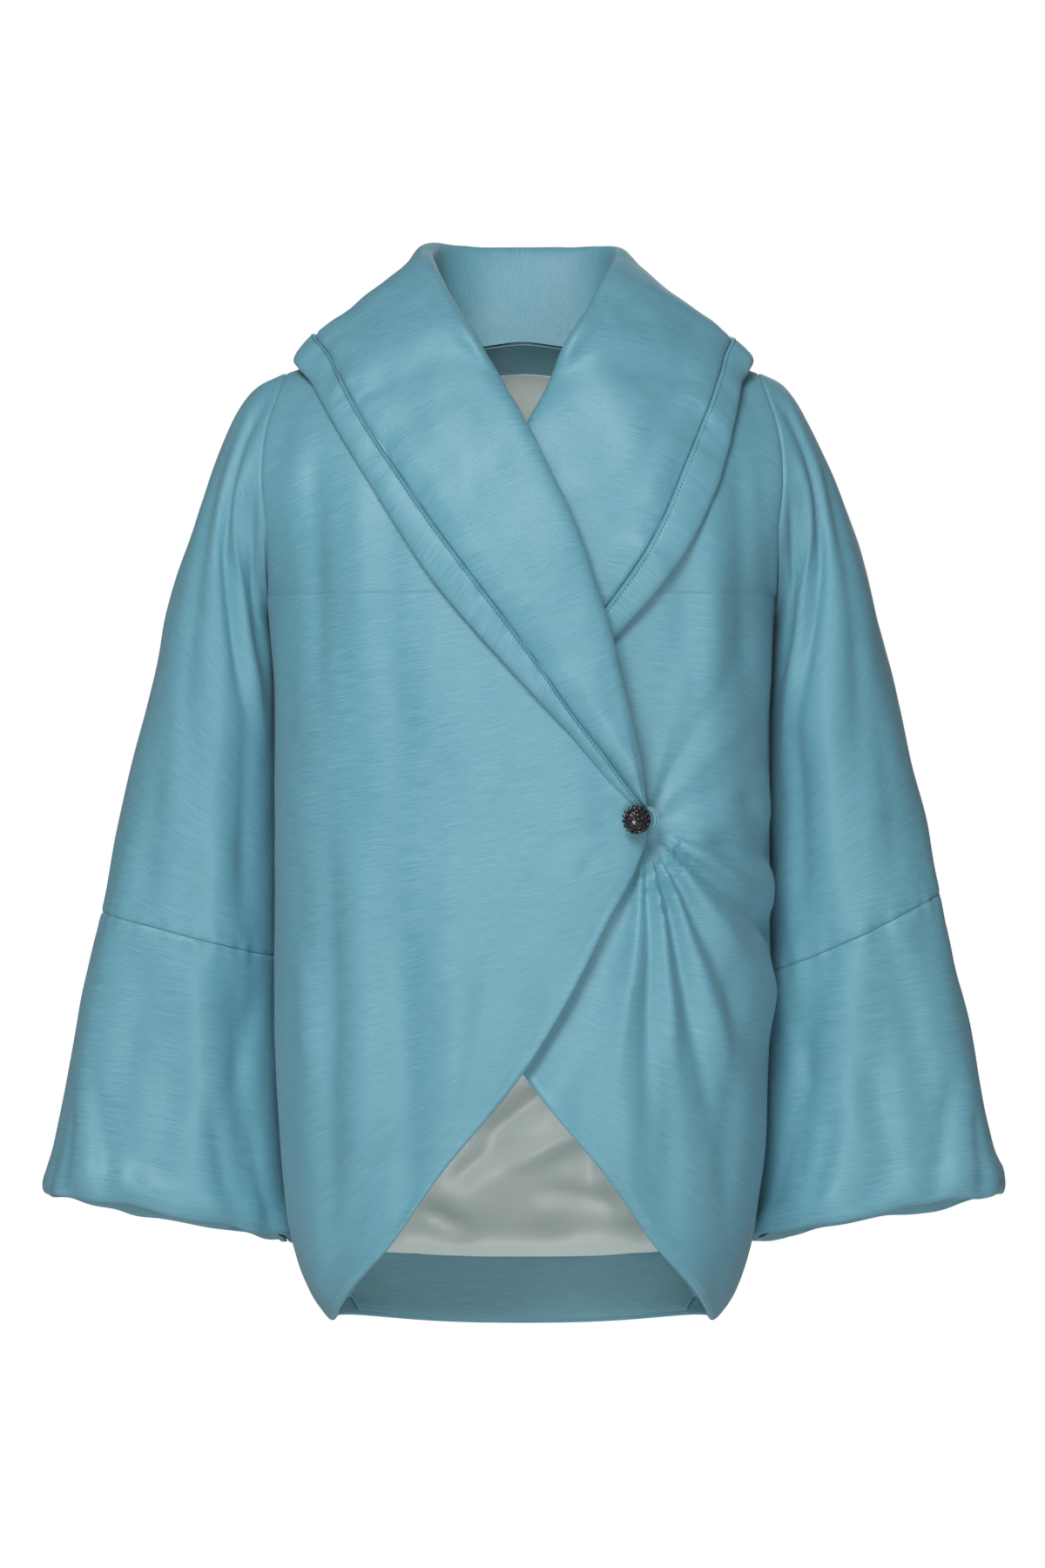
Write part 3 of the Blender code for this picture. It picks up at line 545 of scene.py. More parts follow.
for name, under, creases, seed in (("right", False, OVER_CREASES, 3.1), ("left", True, UNDER_CREASES, 7.7)):
    x = np.full(len(panel_drops), -NECK_HALF)
    for _ in range(12):
        x = front_edge(panel_drops - shoulder(x, panel_drops))
    sides, edges = -armhole_turn(panel_drops), turn_at(x, panel_drops)
    turn, way = spaced_rows(
        lambda samples: form(samples, np.repeat(panel_drops[:, None], samples.shape[1], axis=1)),
        sides, edges, 118 if under else 72)
    drop = np.repeat(panel_drops[:, None], turn.shape[1], axis=1)
    base = form(turn, drop)
    flip = -1 if under else 1
    x, z = base[..., 0] * flip, base[..., 2]
    lift = sum(crease(x, z, *row) for row in creases)
    lift = lift + uneven(base, (0.06, 0.06, 0.11), 0.0036, seed)
    lift = lift + uneven(base, (0.025, 0.025, 0.05), 0.0010, seed)
    from_side, from_edge = way, way[:, -1:] - way
    below = ramp((drop - CUTAWAY_START) / 0.02)
    lift = lift + puckers(drop, from_edge, 0.012, 0.0012, 0.012, seed) * below
    lift = lift - 0.0011 * np.exp(-(((from_edge - EDGE_SEAM) / 0.0011) ** 2)) * below
    if under:
        lift = lift + fanned(x, z)
    down = way_down(base)
    outer, inner = panel_wall(turn, drop, way, lift, [(0, from_side)], down, True, under)
    side_of = mirrored if under else np.copy
    front = sew_wall(f"{name}_front_cloth", [f"{name}_front"], side_of(outer), side_of(inner),
                     way * flip, down, (satin, lining_satin),
                     lined=(LENGTH - drop > FACED) & (from_edge > FACED))

# --- Back ---
# One padded panel from side seam to side seam, cut to the shoulders and a shallow neckline.

NECK_DROP = 0.0205
BACK_CREASES = (
    ((0.09, -0.12), (0.06, -0.32), 0.018, 0.0030), ((-0.09, -0.12), (-0.07, -0.34), 0.018, 0.0030),
    ((0.0, -0.20), (0.01, -0.50), 0.022, -0.0026), ((0.12, -0.36), (0.10, -0.70), 0.014, 0.0034),
    ((-0.115, -0.38), (-0.105, -0.72), 0.014, 0.0034), ((0.045, -0.46), (0.050, -0.74), 0.015, 0.0026),
    ((-0.045, -0.48), (-0.040, -0.72), 0.015, 0.0026), ((0.155, -0.14), (0.14, -0.30), 0.012, 0.0030),
    ((-0.155, -0.14), (-0.145, -0.32), 0.012, 0.0030), ((0.165, -0.45), (0.160, -0.70), 0.010, -0.0024),
    ((-0.165, -0.45), (-0.160, -0.70), 0.010, -0.0024),
)


def back_places(rows, across):
    """Turns and drops over the back: rows are drops below the neckline, across runs -1 to 1 side to side."""
    neck_share = np.abs(across) * armhole_turn(0) / turn_at(NECK_HALF, 0)
    start = NECK_DROP * np.sqrt(np.clip(1 - neck_share**2, 0, 1))
    return math.pi - armhole_turn(rows) * across, start + rows * (LENGTH - start) / LENGTH


rows = panel_drops[:, None]
across, way = spaced_rows(
    lambda samples: form(*back_places(np.repeat(rows, samples.shape[1], axis=1), samples)),
    np.full(len(panel_drops), -1.0), np.full(len(panel_drops), 1.0), 104)
turn, drop = back_places(np.repeat(rows, across.shape[1], axis=1), across)
base = form(turn, drop)
lift = sum(crease(base[..., 0], base[..., 2], *row) for row in BACK_CREASES)
lift = lift + uneven(base, (0.07, 0.07, 0.12), 0.0026, 11.3)
lift = lift + uneven(base, (0.03, 0.03, 0.05), 0.0007, 2.3)
down = way_down(base)
outer, inner = panel_wall(turn, drop, way, lift, [(0, way), (-1, way[:, -1:] - way)], down)
back = sew_wall("back_cloth", ["back_panel"], outer, inner, way, down, (satin, lining_satin),
                lined=LENGTH - drop > FACED)


# --- Sleeves ---
# Each wide sleeve is an upper and a lower tube, joined by a seam at the elbow. The lower one is fuller, and
# its cuff is turned in over the padding, so the edge is thick, soft and a little wavy.

SLEEVE_TOP = ((0, 0.1900, -0.0385), (0.05, 0.2142, -0.0518), (0.10, 0.2331, -0.0798),
              (0.15, 0.2480, -0.1130), (0.24, 0.2680, -0.1690), (0.38, 0.2940, -0.2653),
              (0.66, 0.3402, -0.4718), (1.0, 0.3864, -0.6944))
SLEEVE_INNER_DROP = ((0, 0.2200), (0.10, 0.2450), (0.24, 0.3050), (0.38, 0.3700), (0.66, 0.5080),
                     (1.0, 0.7290))
SLEEVE_DEPTH = ((0, 0.076), (0.25, 0.080), (0.66, 0.074), (1.0, 0.066))
SLEEVE_SET_BACK = 0.042
SLEEVE_ROUNDNESS = 2.2
SLEEVE_LENGTH = 0.68
SLEEVE_GIRTH = 0.44
ELBOW = 0.66
ELBOW_SLANT = {"right": 0.0, "left": 0.045}
CUFF_TILT = 0.24
SIDE_CLEARANCE = 0.0050
CUFF_ROLL = 0.0065
CUFF_FACED = 0.050

sleeve_top, sleeve_drop, sleeve_depth = ease(SLEEVE_TOP), ease(SLEEVE_INNER_DROP), ease(SLEEVE_DEPTH)


def sleeve_point(share, angle):
    """Point of the wearer's left sleeve: share of the way to the cuff, angle from its top line forwards."""
    fore = np.sin(angle) >= 0
    drop = UNDERARM * (1 - np.cos(angle)) / 2
    start_turn = np.where(fore, armhole_turn(drop), math.pi - armhole_turn(drop))
    start = form(start_turn, drop)
    top = np.insert(sleeve_top(share), 1, 0, axis=-1)
    first_top, first_inner = form(armhole_turn(0.0), 0.0), form(math.pi / 2, UNDERARM)
    back_by = SLEEVE_SET_BACK * ramp(share / 0.18)
    inner_drop = sleeve_drop(share)
    flank = (1 - (back_by / back_depth(inner_drop)) ** SQUARENESS) ** (1 / SQUARENESS)
    inner_x = half_width(inner_drop) * flank + SIDE_CLEARANCE * ramp(share / 0.15)
    inner = np.stack([inner_x, np.zeros_like(inner_x), -inner_drop], axis=-1)
    cosine = np.sign(np.cos(angle)) * np.abs(np.cos(angle)) ** (2 / SLEEVE_ROUNDNESS)
    sine = np.sign(np.sin(angle)) * np.abs(np.sin(angle)) ** (2 / SLEEVE_ROUNDNESS)
    ring = (top + inner) / 2 + (top - inner) / 2 * cosine[..., None]
    upper = (1 + np.cos(angle)) / 2
    set_back = back_by * (1 - upper) + SLEEVE_SET_BACK * 0.7 * ramp(share / 0.60) * upper
    y = set_back - sleeve_depth(share) * sine
    ring[..., 1] = y
    ring[..., 2] -= CUFF_TILT * y * ramp((share - ELBOW) / (1 - ELBOW))
    upper = upper[..., None]
    moved = start + (top - first_top) * upper + (inner - first_inner) * (1 - upper)
    moved[..., 1] += set_back
    settled = ramp(share / 0.30)[..., None]
    return moved * (1 - settled) + ring * settled


def inwards_of_sleeve(share, angle):
    """Direction through the sleeve's wall. At the armhole it is the body panels' own."""
    ahead, behind = np.minimum(share + 0.004, 1), np.maximum(share - 0.004, 0)
    along = sleeve_point(ahead, angle) - sleeve_point(behind, angle)
    round_it = sleeve_point(share, angle + 0.02) - sleeve_point(share, angle - 0.02)
    inward = -unit(np.cross(round_it, along))
    drop = UNDERARM * (1 - np.cos(angle)) / 2
    turn = np.where(np.sin(angle) >= 0, armhole_turn(drop), math.pi - armhole_turn(drop))
    near = (1 - ramp(share / 0.03))[..., None]
    return unit(inward * (1 - near) + armhole_rim(turn, drop) * near)


# Creases as (share, angle in degrees) at start and end, width and depth in metres. Angles run forwards from
# the top line: 90 is the middle of the front, 180 the underarm and 270 the middle of the back.
SLEEVE_CREASES = (
    ((0.02, 42), (0.30, 112), 0.011, 0.0062), ((0.05, 74), (0.30, 130), 0.010, -0.0046),
    ((0.03, 100), (0.24, 138), 0.009, 0.0040), ((0.12, 34), (0.46, 74), 0.015, 0.0036),
    ((0.30, 92), (0.62, 104), 0.016, -0.0036), ((0.34, 122), (0.60, 128), 0.011, 0.0040),
    ((0.42, 52), (0.62, 60), 0.014, 0.0026), ((0.70, 70), (0.97, 60), 0.014, 0.0042),
    ((0.68, 100), (0.96, 106), 0.014, -0.0040), ((0.72, 124), (0.95, 136), 0.012, 0.0048),
    ((0.86, 46), (0.99, 66), 0.007, 0.0030), ((0.84, 92), (0.99, 84), 0.007, 0.0034),
    ((0.88, 112), (0.99, 120), 0.006, 0.0032), ((0.90, 30), (0.99, 36), 0.006, 0.0026),
    ((0.88, 140), (0.99, 146), 0.006, 0.0030), ((0.72, 142), (0.84, 126), 0.009, 0.0034),
    ((0.70, 38), (0.94, 34), 0.012, -0.0018), ((0.78, 84), (0.90, 88), 0.007, 0.0014),
    ((0.05, 240), (0.32, 226), 0.012, 0.0034), ((0.06, 275), (0.36, 258), 0.014, 0.0026),
    ((0.34, 250), (0.62, 246), 0.016, -0.0028), ((0.70, 236), (0.96, 228), 0.014, 0.0030),
    ((0.68, 272), (0.96, 280), 0.016, 0.0024), ((0.10, 310), (0.44, 300), 0.016, 0.0022),
)
ring_angles = np.linspace(0, 2 * math.pi, 112, endpoint=False)


def sleeve_rows(first, last):
    places = steps_along((last - first) * SLEEVE_LENGTH, 0.0052)
    return first + places / SLEEVE_LENGTH


def slanted(base, side):
    """Shares of the way for whole rings, with the elbow seam lower on the inner side."""
    low = (1 - np.cos(ring_angles)) / 2
    bend = np.interp(base, (0, ELBOW, 1), (0, 1, 0))
    return base[:, None] + ELBOW_SLANT[side] * bend[:, None] * (low - 0.5)


def sleeve_lift(share, base, angle, seed):
    """Creases, unevenness and the puckers of the elbow seam on a sleeve, in metres."""
    around, along = angle / (2 * math.pi) * SLEEVE_GIRTH, share * SLEEVE_LENGTH
    lift = np.zeros_like(share)
    for (s0, a0), (s1, a1), width, depth in SLEEVE_CREASES:
        start = (s0 * SLEEVE_LENGTH, a0 / 360 * SLEEVE_GIRTH)
        end = (s1 * SLEEVE_LENGTH, a1 / 360 * SLEEVE_GIRTH)
        lift += crease(along, around, start, end, width, depth)
    place = sleeve_point(share, angle)
    lift += (uneven(place, (0.05, 0.05, 0.10), 0.0036, seed)
             + uneven(place, (0.024, 0.024, 0.04), 0.0011, seed))
    from_elbow = np.abs(base[:, None] - ELBOW) * SLEEVE_LENGTH + np.zeros_like(share)
    lift += puckers(around, from_elbow, 0.009, 0.0036, 0.014, seed)
    lift += puckers(around, from_elbow, 0.030, 0.0048, 0.050, seed + 5)
    beside_body = 0.85 * np.exp(-(((angle - math.pi) / 0.6) ** 2))
    return lift * (1 - beside_body) + 0.0015 * beside_body


def cuff_droop(place, angle, from_end, seed):
    """How far the soft edge of a cuff hangs down in front and rides up behind, with its waves."""
    waves = 0.0060 * uneven(place, (0.035, 0.035, 0.035), 1.0, seed + 3) * np.exp(-from_end / 0.02)
    droop = waves - 0.0070 * np.sin(angle) * np.exp(-from_end / 0.05)
    return droop[..., None] * np.array([0, 0, 1.0])


for side, flip, seed in (("right", -1, 21.5), ("left", 1, 34.5)):
    way_round = np.array([flip, 1, 1])
    for part, first, last in (("upper", 0.0, ELBOW), ("lower", ELBOW, 1.0)):
        base = sleeve_rows(first, last)
        share = slanted(base, side)
        angle = np.repeat(ring_angles[None, :], len(base), axis=0)
        from_top = (base - first)[:, None] * SLEEVE_LENGTH
        from_end = (last - base)[:, None] * SLEEVE_LENGTH
        lift = sleeve_lift(share, base, angle, seed)
        place, inwards = sleeve_point(share, angle), inwards_of_sleeve(share, angle)
        around = angle / (2 * math.pi) * SLEEVE_GIRTH
        seam = bulge(from_top, SEAM_REACH)
        if part == "upper":
            seam = np.minimum(seam, bulge(from_end, SEAM_REACH))
            lift = lift * ramp(from_top / 0.030)
            outer_depth = SEAM_DEPTH * (1 - seam)
            inner_depth = np.full_like(share, WALL)
        else:
            wavy = uneven(place, (0.035, 0.035, 0.035), 1.0, seed + 3)
            swell = np.exp(-(((from_end - 0.015) / 0.013) ** 2))
            lift = lift + 0.0036 * swell * (1 + 1.6 * wavy)
            lift = lift + puckers(around, from_end, 0.015, 0.0042, 0.026, seed + 8)
            lift = lift + puckers(around, from_end, 0.045, 0.0060, 0.090, seed + 9)
            roll = bulge(from_end, CUFF_ROLL)
            middle = WALL * 0.6
            outer_depth = np.maximum(SEAM_DEPTH * (1 - seam), (middle - 0.0001) * (1 - roll))
            inner_depth = middle + 0.0001 + (WALL - middle) * roll
            place = place + cuff_droop(place, angle, from_end, seed)
        place = place - inwards * lift[..., None]
        outer = place + inwards * outer_depth[..., None]
        inner = place + inwards * (inner_depth + np.zeros_like(share))[..., None]
        sleeve = sew_wall(f"{side}_{part}_sleeve_cloth", [f"{side}_{part}_sleeve"],
                          outer * way_round, inner * way_round, around * flip, share * SLEEVE_LENGTH,
                          (satin, lining_satin), girth=SLEEVE_GIRTH * flip,
                          lined=from_end + np.zeros_like(share) > CUFF_FACED)


# --- Cuff facings and sleeve linings ---
# The shell cloth is faced back inside the cuff with its matt side out, and the pale lining starts above it.
# Both are single cloth, and the lining is a little too long, so that it pouches over the facing's seam.

FACING_TOP = 0.932
FACING_FOOT = 0.9975
LINING_TOP = 0.790
CLOTH = 0.0009
CUFF_FACING_CUT = (0.48, 0.046)
CUFF_FACING_AREA = 0.0218
SLEEVE_LINING_CUT = (0.46, 0.100)
SLEEVE_LINING_AREA = 0.0431

for side, flip, seed in (("right", -1, 41.5), ("left", 1, 54.5)):
    way_round = np.array([flip, 1, 1])
    for piece, first, last, finish, slot, cut, area in (
        ("cuff_facing", FACING_TOP, FACING_FOOT, facing_cloth, "facing_cloth",
         CUFF_FACING_CUT, CUFF_FACING_AREA),
        ("sleeve_lining", LINING_TOP, FACING_TOP + 0.004, lining_satin, "lining_satin",
         SLEEVE_LINING_CUT, SLEEVE_LINING_AREA),
    ):
        base = sleeve_rows(first, last)
        share = slanted(base, side)
        angle = np.repeat(ring_angles[None, :], len(base), axis=0)
        around = angle / (2 * math.pi) * SLEEVE_GIRTH
        place, inwards = sleeve_point(share, angle), inwards_of_sleeve(share, angle)
        from_end = (last - base)[:, None] * SLEEVE_LENGTH
        from_cuff = (1 - base)[:, None] * SLEEVE_LENGTH
        place = place + cuff_droop(place, angle, from_cuff, seed - 20)
        depth = WALL + LAYER_GAP + 0.0016 + uneven(place, (0.03, 0.03, 0.05), 0.0026, seed)
        if piece == "cuff_facing":
            depth = depth + puckers(around, from_end, 0.014, 0.0036, 0.024, seed)
            depth = depth - 0.0022 * np.exp(-from_end / 0.004)
        else:
            depth = depth + 0.0030 * np.exp(-(((from_end - 0.006) / 0.006) ** 2)) + 0.0006
        outer = place + inwards * depth[..., None]
        inner = outer + inwards * CLOTH
        inside = sew_wall(f"{side}_{piece}_cloth", [f"{side}_{piece}"], outer * way_round,
                          inner * way_round, around * flip, share * SLEEVE_LENGTH, (finish,),
                          girth=SLEEVE_GIRTH * flip)


# --- Inside the back and the front edges ---
# A facing of the shell cloth, matt side out, finishes the neck, the hem and the cutaway edges. Between them
# hangs the lining, which is loose and pouches over the hem facing in a soft, wavy line.

NECK_FACING = 0.023
HEM_FACING = 0.7441
HEM_FOOT = 0.7975
LINING_REACH = 0.66
FACING_WIDTH = 0.05
FACING_INSET = 0.012
FACING_END = 0.776
LINING_CREASES = (
    # start and end as (x, z), width, depth into the jacket's wall
    ((-0.030, -0.66), (0.030, -0.615), 0.007, 0.0065), ((-0.008, -0.685), (0.055, -0.655), 0.008, -0.0057),
    ((-0.060, -0.70), (-0.020, -0.665), 0.008, 0.0057), ((0.045, -0.62), (0.060, -0.70), 0.009, 0.0049),
    ((-0.085, -0.72), (-0.050, -0.735), 0.007, 0.0049), ((0.020, -0.705), (0.080, -0.715), 0.009, 0.0046),
    ((-0.035, -0.60), (-0.020, -0.56), 0.010, 0.0049), ((0.075, -0.68), (0.095, -0.735), 0.008, -0.0049),
    ((0.00, -0.30), (0.01, -0.52), 0.020, 0.0057), ((-0.06, -0.25), (-0.05, -0.5), 0.018, 0.0049),
)


def inside_sheet(name, node, finish, first, last, reach, lift_of, spacing=0.0045):
    """Sheet inside the back between two drops below the neckline, out to this share of the half-width."""
    rows = first + steps_along(last - first, spacing)
    across = np.linspace(-reach, reach, max(int(reach * 0.5 / 0.0045), 24))
    grid = np.repeat(across[None, :], len(rows), axis=0)
    turn, drop = back_places(rows[:, None], grid)
    base, inwards = form(turn, drop), -outward(turn, drop)
    depth = WALL + LAYER_GAP + 0.0006 + lift_of(base, rows[:, None] + 0 * grid, grid)
    outer = base + inwards * depth[..., None]
    inner = outer + inwards * CLOTH
    return sew_wall(name, [node], outer, inner, base[..., 0], -base[..., 2], (finish,))


neck_facing = inside_sheet("neck_facing_cloth", "neck_facing", facing_cloth, 0,
                           NECK_FACING, 0.30,
                           lambda base, drop, across: uneven(base, (0.03, 0.03, 0.03), 0.0006, 61.5))


def lining_lift(base, drop, across):
    creased = -sum(crease(base[..., 0], base[..., 2], *row) for row in LINING_CREASES)
    swell = 0.0045 * np.exp(-(((HEM_FACING - drop - 0.010) / 0.014) ** 2))
    tuck = 0.0030 * np.exp(-((HEM_FACING + 0.004 - drop) / 0.004) ** 2)
    loose = (0.005 + uneven(base, (0.05, 0.05, 0.05), 0.0060, 66.5)
             + uneven(base, (0.02, 0.02, 0.03), 0.0016, 67.5))
    return (creased + loose) * ramp((drop - NECK_FACING) / 0.05) + swell - tuck + 0.0006


back_lining = inside_sheet("back_lining_cloth", "back_lining", lining_satin, NECK_FACING,
                           HEM_FACING + 0.004, LINING_REACH, lining_lift)
hem_facing = inside_sheet("hem_facing_cloth", "hem_facing", facing_cloth, HEM_FACING - 0.006,
                          HEM_FOOT, LINING_REACH,
                          lambda base, drop, across: uneven(base, (0.04, 0.04, 0.04), 0.0010, 71.5)
                          - 0.0026 * np.exp(-(HEM_FOOT - drop) / 0.004))

for name, under in (("right", False), ("left", True)):
    rows = CUTAWAY_START + steps_along(FACING_END - CUTAWAY_START, 0.005)
    edges = turn_at(front_edge(rows), rows)
    offsets = np.linspace(FACING_WIDTH, 0.0, 14)
    turn = edges[:, None] - FACING_INSET * 0.35 - offsets[None, :] / half_width(rows)[:, None]
    drop = np.repeat(rows[:, None], len(offsets), axis=1)
    outer = laid(turn, drop, -WALL - LAYER_GAP, under)
    inner = laid(turn, drop, -WALL - LAYER_GAP - CLOTH, under)
    side_of = mirrored if under else np.copy
    facing = sew_wall(f"{name}_front_facing_cloth", [f"{name}_front_facing"], side_of(outer),
                      side_of(inner), np.repeat(-offsets[None, :], len(rows), axis=0), drop, (facing_cloth,))


# --- Collar ---
# A deep shawl collar of padded satin, in two halves joined at the centre back. It stands up round the neck,
# rolls over and lies on the fronts, narrowing to the button.

ROLL_NECK = ((-0.06, 0.045, 0.075, 0.0710), (0, 0, 0.080, 0.0710), (0.06, -0.045, 0.075, 0.0710),
             (0.13, -0.0735, 0.047, 0.0690), (0.18, -0.0725, 0.010, 0.0560),
             (0.24, -0.0625, -0.030, 0.0342), (0.30, -0.049, -0.064, 0.0037),
             (0.35, -0.0336, -0.090, -0.0212))
SEAM_BACK = ((0, 0, -0.030, 0.022), (0.08, -0.06, -0.029, 0.021), (0.15, -0.115, -0.022, 0.020))
SEAM_RIDGE = (0.20, -0.1520, 0.021)
SEAM_FRONT = ((0.30, -0.1475, -0.0400, 0.015), (0.39, -0.1265, -0.0796, 0.010),
              (0.50, -0.0913, -0.1338, 0.008), (0.64, -0.0517, -0.1900, 0.008),
              (0.78, 0.0054, -0.2657, 0.008), (0.87, 0.0391, -0.3150, 0.008),
              (0.94, 0.0700, -0.3555, 0.0050), (1.0, 0.0925, -0.3855, 0.0020))
UNDER_SEAM_FRONT = ((0.30, -0.1560, -0.0400, 0.013), (0.39, -0.1450, -0.0727, 0.010),
                    (0.48, -0.1280, -0.1150, 0.008), (0.60, -0.1026, -0.1748, 0.008),
                    (0.72, -0.0621, -0.2360, 0.008), (0.84, -0.0050, -0.2950, 0.008),
                    (0.93, 0.0450, -0.3420, 0.0065), (1.0, 0.0925, -0.3855, 0.0045))
NECK_FRONT = ((0.19, -0.0745, 0.0, 0.0045), (0.25, -0.0650, -0.012, 0.002), (0.31, -0.0530, -0.032, -0.002))
COLLAR_FOLD = 0.009
COLLAR_WALL = 0.0075
COLLAR_PUFF = 0.005
COLLAR_ROWS = 170
STAND_DEPTHS = (-0.0062, -0.0062, -0.0062, -0.0020)


def on_front(rows, under):
    station, x, z, lift = np.array(rows).T
    drop = drop_at(x, z)
    return np.column_stack([station, laid(turn_at(x, drop), drop, lift, under)])


def on_back(rows):
    station, x, z, lift = np.array(rows).T
    drop = drop_at(x, z)
    return np.column_stack([station, laid(math.pi - turn_at(x, drop), drop, lift, False)])


def on_ridge(row):
    station, x, lift = row
    drop = np.array([0.0])
    return np.column_stack([[station], laid(turn_at(np.array([x]), drop), drop, lift, False)])


def neck_seam(under):
    across = np.array([-0.45, 0, 0.45, 0.80]) * turn_at(NECK_HALF, 0) / armhole_turn(0)
    turn, drop = back_places(np.array([0.0]), -across)
    back = np.column_stack([[-0.07, 0, 0.07, 0.13], laid(turn, drop, np.array(STAND_DEPTHS), False)])
    back[:, 3] += 0.0010
    return np.vstack([back, on_front(NECK_FRONT, under)])


def panel_normal(point):
    drop = drop_at(point[0], point[2])
    return outward(turn_at(point[0], drop), drop)


FALL_STEPS = np.concatenate([[0, 0.004, 0.010, 0.020, 0.034, 0.052, 0.075], np.linspace(0.10, 0.97, 26)])
FOLD_STEPS = np.linspace(0, 1, 14)
STAND_STEPS = np.linspace(0, 1, 9)[1:]


def collar_section(station, roll, seam, neck, under):
    """Outer and inner points across the collar: the fall from its seam, round the roll, and the stand."""
    r, m, n = roll(station), seam(station), neck(min(station, 0.31))
    tangent = unit(roll(min(station + 0.01, 1)) - roll(max(station - 0.01, 0)))
    if station < 1e-6:
        tangent = np.array([-1.0, 0, 0])
    to_roll = unit(r - m)
    out = unit(np.cross(tangent, to_roll))
    width = np.linalg.norm(r - m)
    fold = min(COLLAR_FOLD, 0.40 * width)
    wall = min(COLLAR_WALL, 0.75 * fold)
    centre = r - fold * to_roll
    tucked = centre - 1.5 * fold * to_roll - fold * out
    flat = ramp((station - 0.28) / 0.12)
    n = n * (1 - flat) + tucked * flat
    down_stand = np.array([-1.0, 0.0])
    for _ in range(3):
        faces_neck = np.array([-down_stand[1], down_stand[0]])
        start = centre + fold * (faces_neck[0] * to_roll + faces_neck[1] * out)
        down_stand = unit(np.array([(n - start) @ to_roll, (n - start) @ out]))
    faces_neck = np.array([-down_stand[1], down_stand[0]])
    end = math.atan2(faces_neck[1], faces_neck[0])
    top = centre + fold * out
    on_panel = ramp((station - 0.26) / 0.16)
    c = FALL_STEPS[:, None]
    chord = m + (top - m) * c
    swell = 4 * c * (1 - c)
    seam_lift = 0.6 * wall + 0.0035
    height = seam_lift + (0.014 * fold / COLLAR_FOLD - seam_lift) * c + 0.003 * swell
    drop = drop_at(chord[:, 0], chord[:, 2])
    turn = turn_at(chord[:, 0], drop)
    lying = laid(turn, drop, height[:, 0], under)
    lying = m + (lying - m) * ramp(c / 0.12) + (chord - m) * (1 - ramp(c / 0.12))
    on_panel = on_panel * ramp(drop / 0.055)[:, None]
    fall = (chord + out * COLLAR_PUFF * swell) * (1 - on_panel) + lying * on_panel
    normal = unit(out * (1 - on_panel * 0.8) + outward(turn, drop) * on_panel * 0.8)
    thickness = wall * np.interp(FALL_STEPS, (0, 0.25, 0.5, 1), (0.60, 0.9, 1.0, 1.0))[:, None]
    turns = math.pi / 2 + (end - math.pi / 2) * FOLD_STEPS[:, None]
    spoke = np.cos(turns) * to_roll + np.sin(turns) * out
    last = faces_neck[0] * to_roll + faces_neck[1] * out
    stand_start = centre + last * fold
    stand = stand_start + (n - stand_start) * STAND_STEPS[:, None]
    stand_wall = wall * (1 - 0.2 * STAND_STEPS[:, None])
    outer = np.concatenate([fall, centre + spoke * fold, stand])
    inner = np.concatenate([fall - normal * thickness, centre + spoke * (fold - wall),
                            stand - last * stand_wall])
    return outer, inner


def softened(grid, passes):
    """The grid with its kinks smoothed out. Its first columns, last column and end rows stay."""
    grid = grid.copy()
    for _ in range(passes):
        grid[:, 5:-1] = (grid[:, 4:-2] + 2 * grid[:, 5:-1] + grid[:, 6:]) / 4
        grid[1:-1, 5:-1] = (grid[:-2, 5:-1] + 2 * grid[1:-1, 5:-1] + grid[2:, 5:-1]) / 4
    return grid


collar_lines = {}
for name, under, seed in (("right", False, 81.5), ("left", True, 92.5)):
    seam_rows = UNDER_SEAM_FRONT if under else SEAM_FRONT
    roll = ease(np.vstack([ROLL_NECK, on_front(ROLL_FRONT, under)]))
    seam = ease(np.vstack([on_back(SEAM_BACK), on_ridge(SEAM_RIDGE), on_front(seam_rows, under)]))
    neck = ease(neck_seam(under))
    stations = np.linspace(0, 1, COLLAR_ROWS) ** 0.95
    sections = [collar_section(station, roll, seam, neck, under) for station in stations]
    outer, inner = (softened(np.array([section[k] for section in sections]), 5) for k in (0, 1))
    inwards = unit(inner - outer)
    steps = np.linalg.norm(np.diff(outer, axis=1), axis=-1)
    way = np.concatenate([np.zeros((len(stations), 1)), np.cumsum(steps, axis=1)], axis=1)
    down = way_down(outer[:, :1]) + np.zeros_like(way)
    to_neck = way[:, -1:] - way
    narrow = ramp(way[:, -1:] / 0.06)
    lift = uneven(outer, (0.05, 0.05, 0.06), 0.0026, seed)
    lift += uneven(outer, (0.02, 0.02, 0.026), 0.0009, seed + 1)
    lift += puckers(down, way, 0.012, 0.0024, 0.018, seed)
    lift += puckers(down, way, 0.034, 0.0036, 0.040, seed + 2)
    lift += 0.0016 * np.exp(-(((way - 0.014) / 0.012) ** 2))
    lift = lift * narrow * ramp(down / 0.04) * ramp(to_neck / 0.03)
    groove = 0.0034 * (1 - bulge(way, 0.0060)) * (0.35 + 0.65 * narrow)
    outer = outer - inwards * (lift - groove)[..., None]
    outer[0, :, 0] = inner[0, :, 0] = 0
    side_of = mirrored if under else np.copy
    collar = sew_wall(f"{name}_collar_cloth", [f"{name}_collar"], side_of(outer),
                      side_of(inner), way, down, (satin, satin))
    collar_lines[name] = (stations, outer[:, 0], inner[:, 0], inwards[:, 0], groove[:, 0])


# --- Collar band ---
# A padded band sewn round the collar's outer edge. It is turned over softly and pick-stitched beside the
# seam.

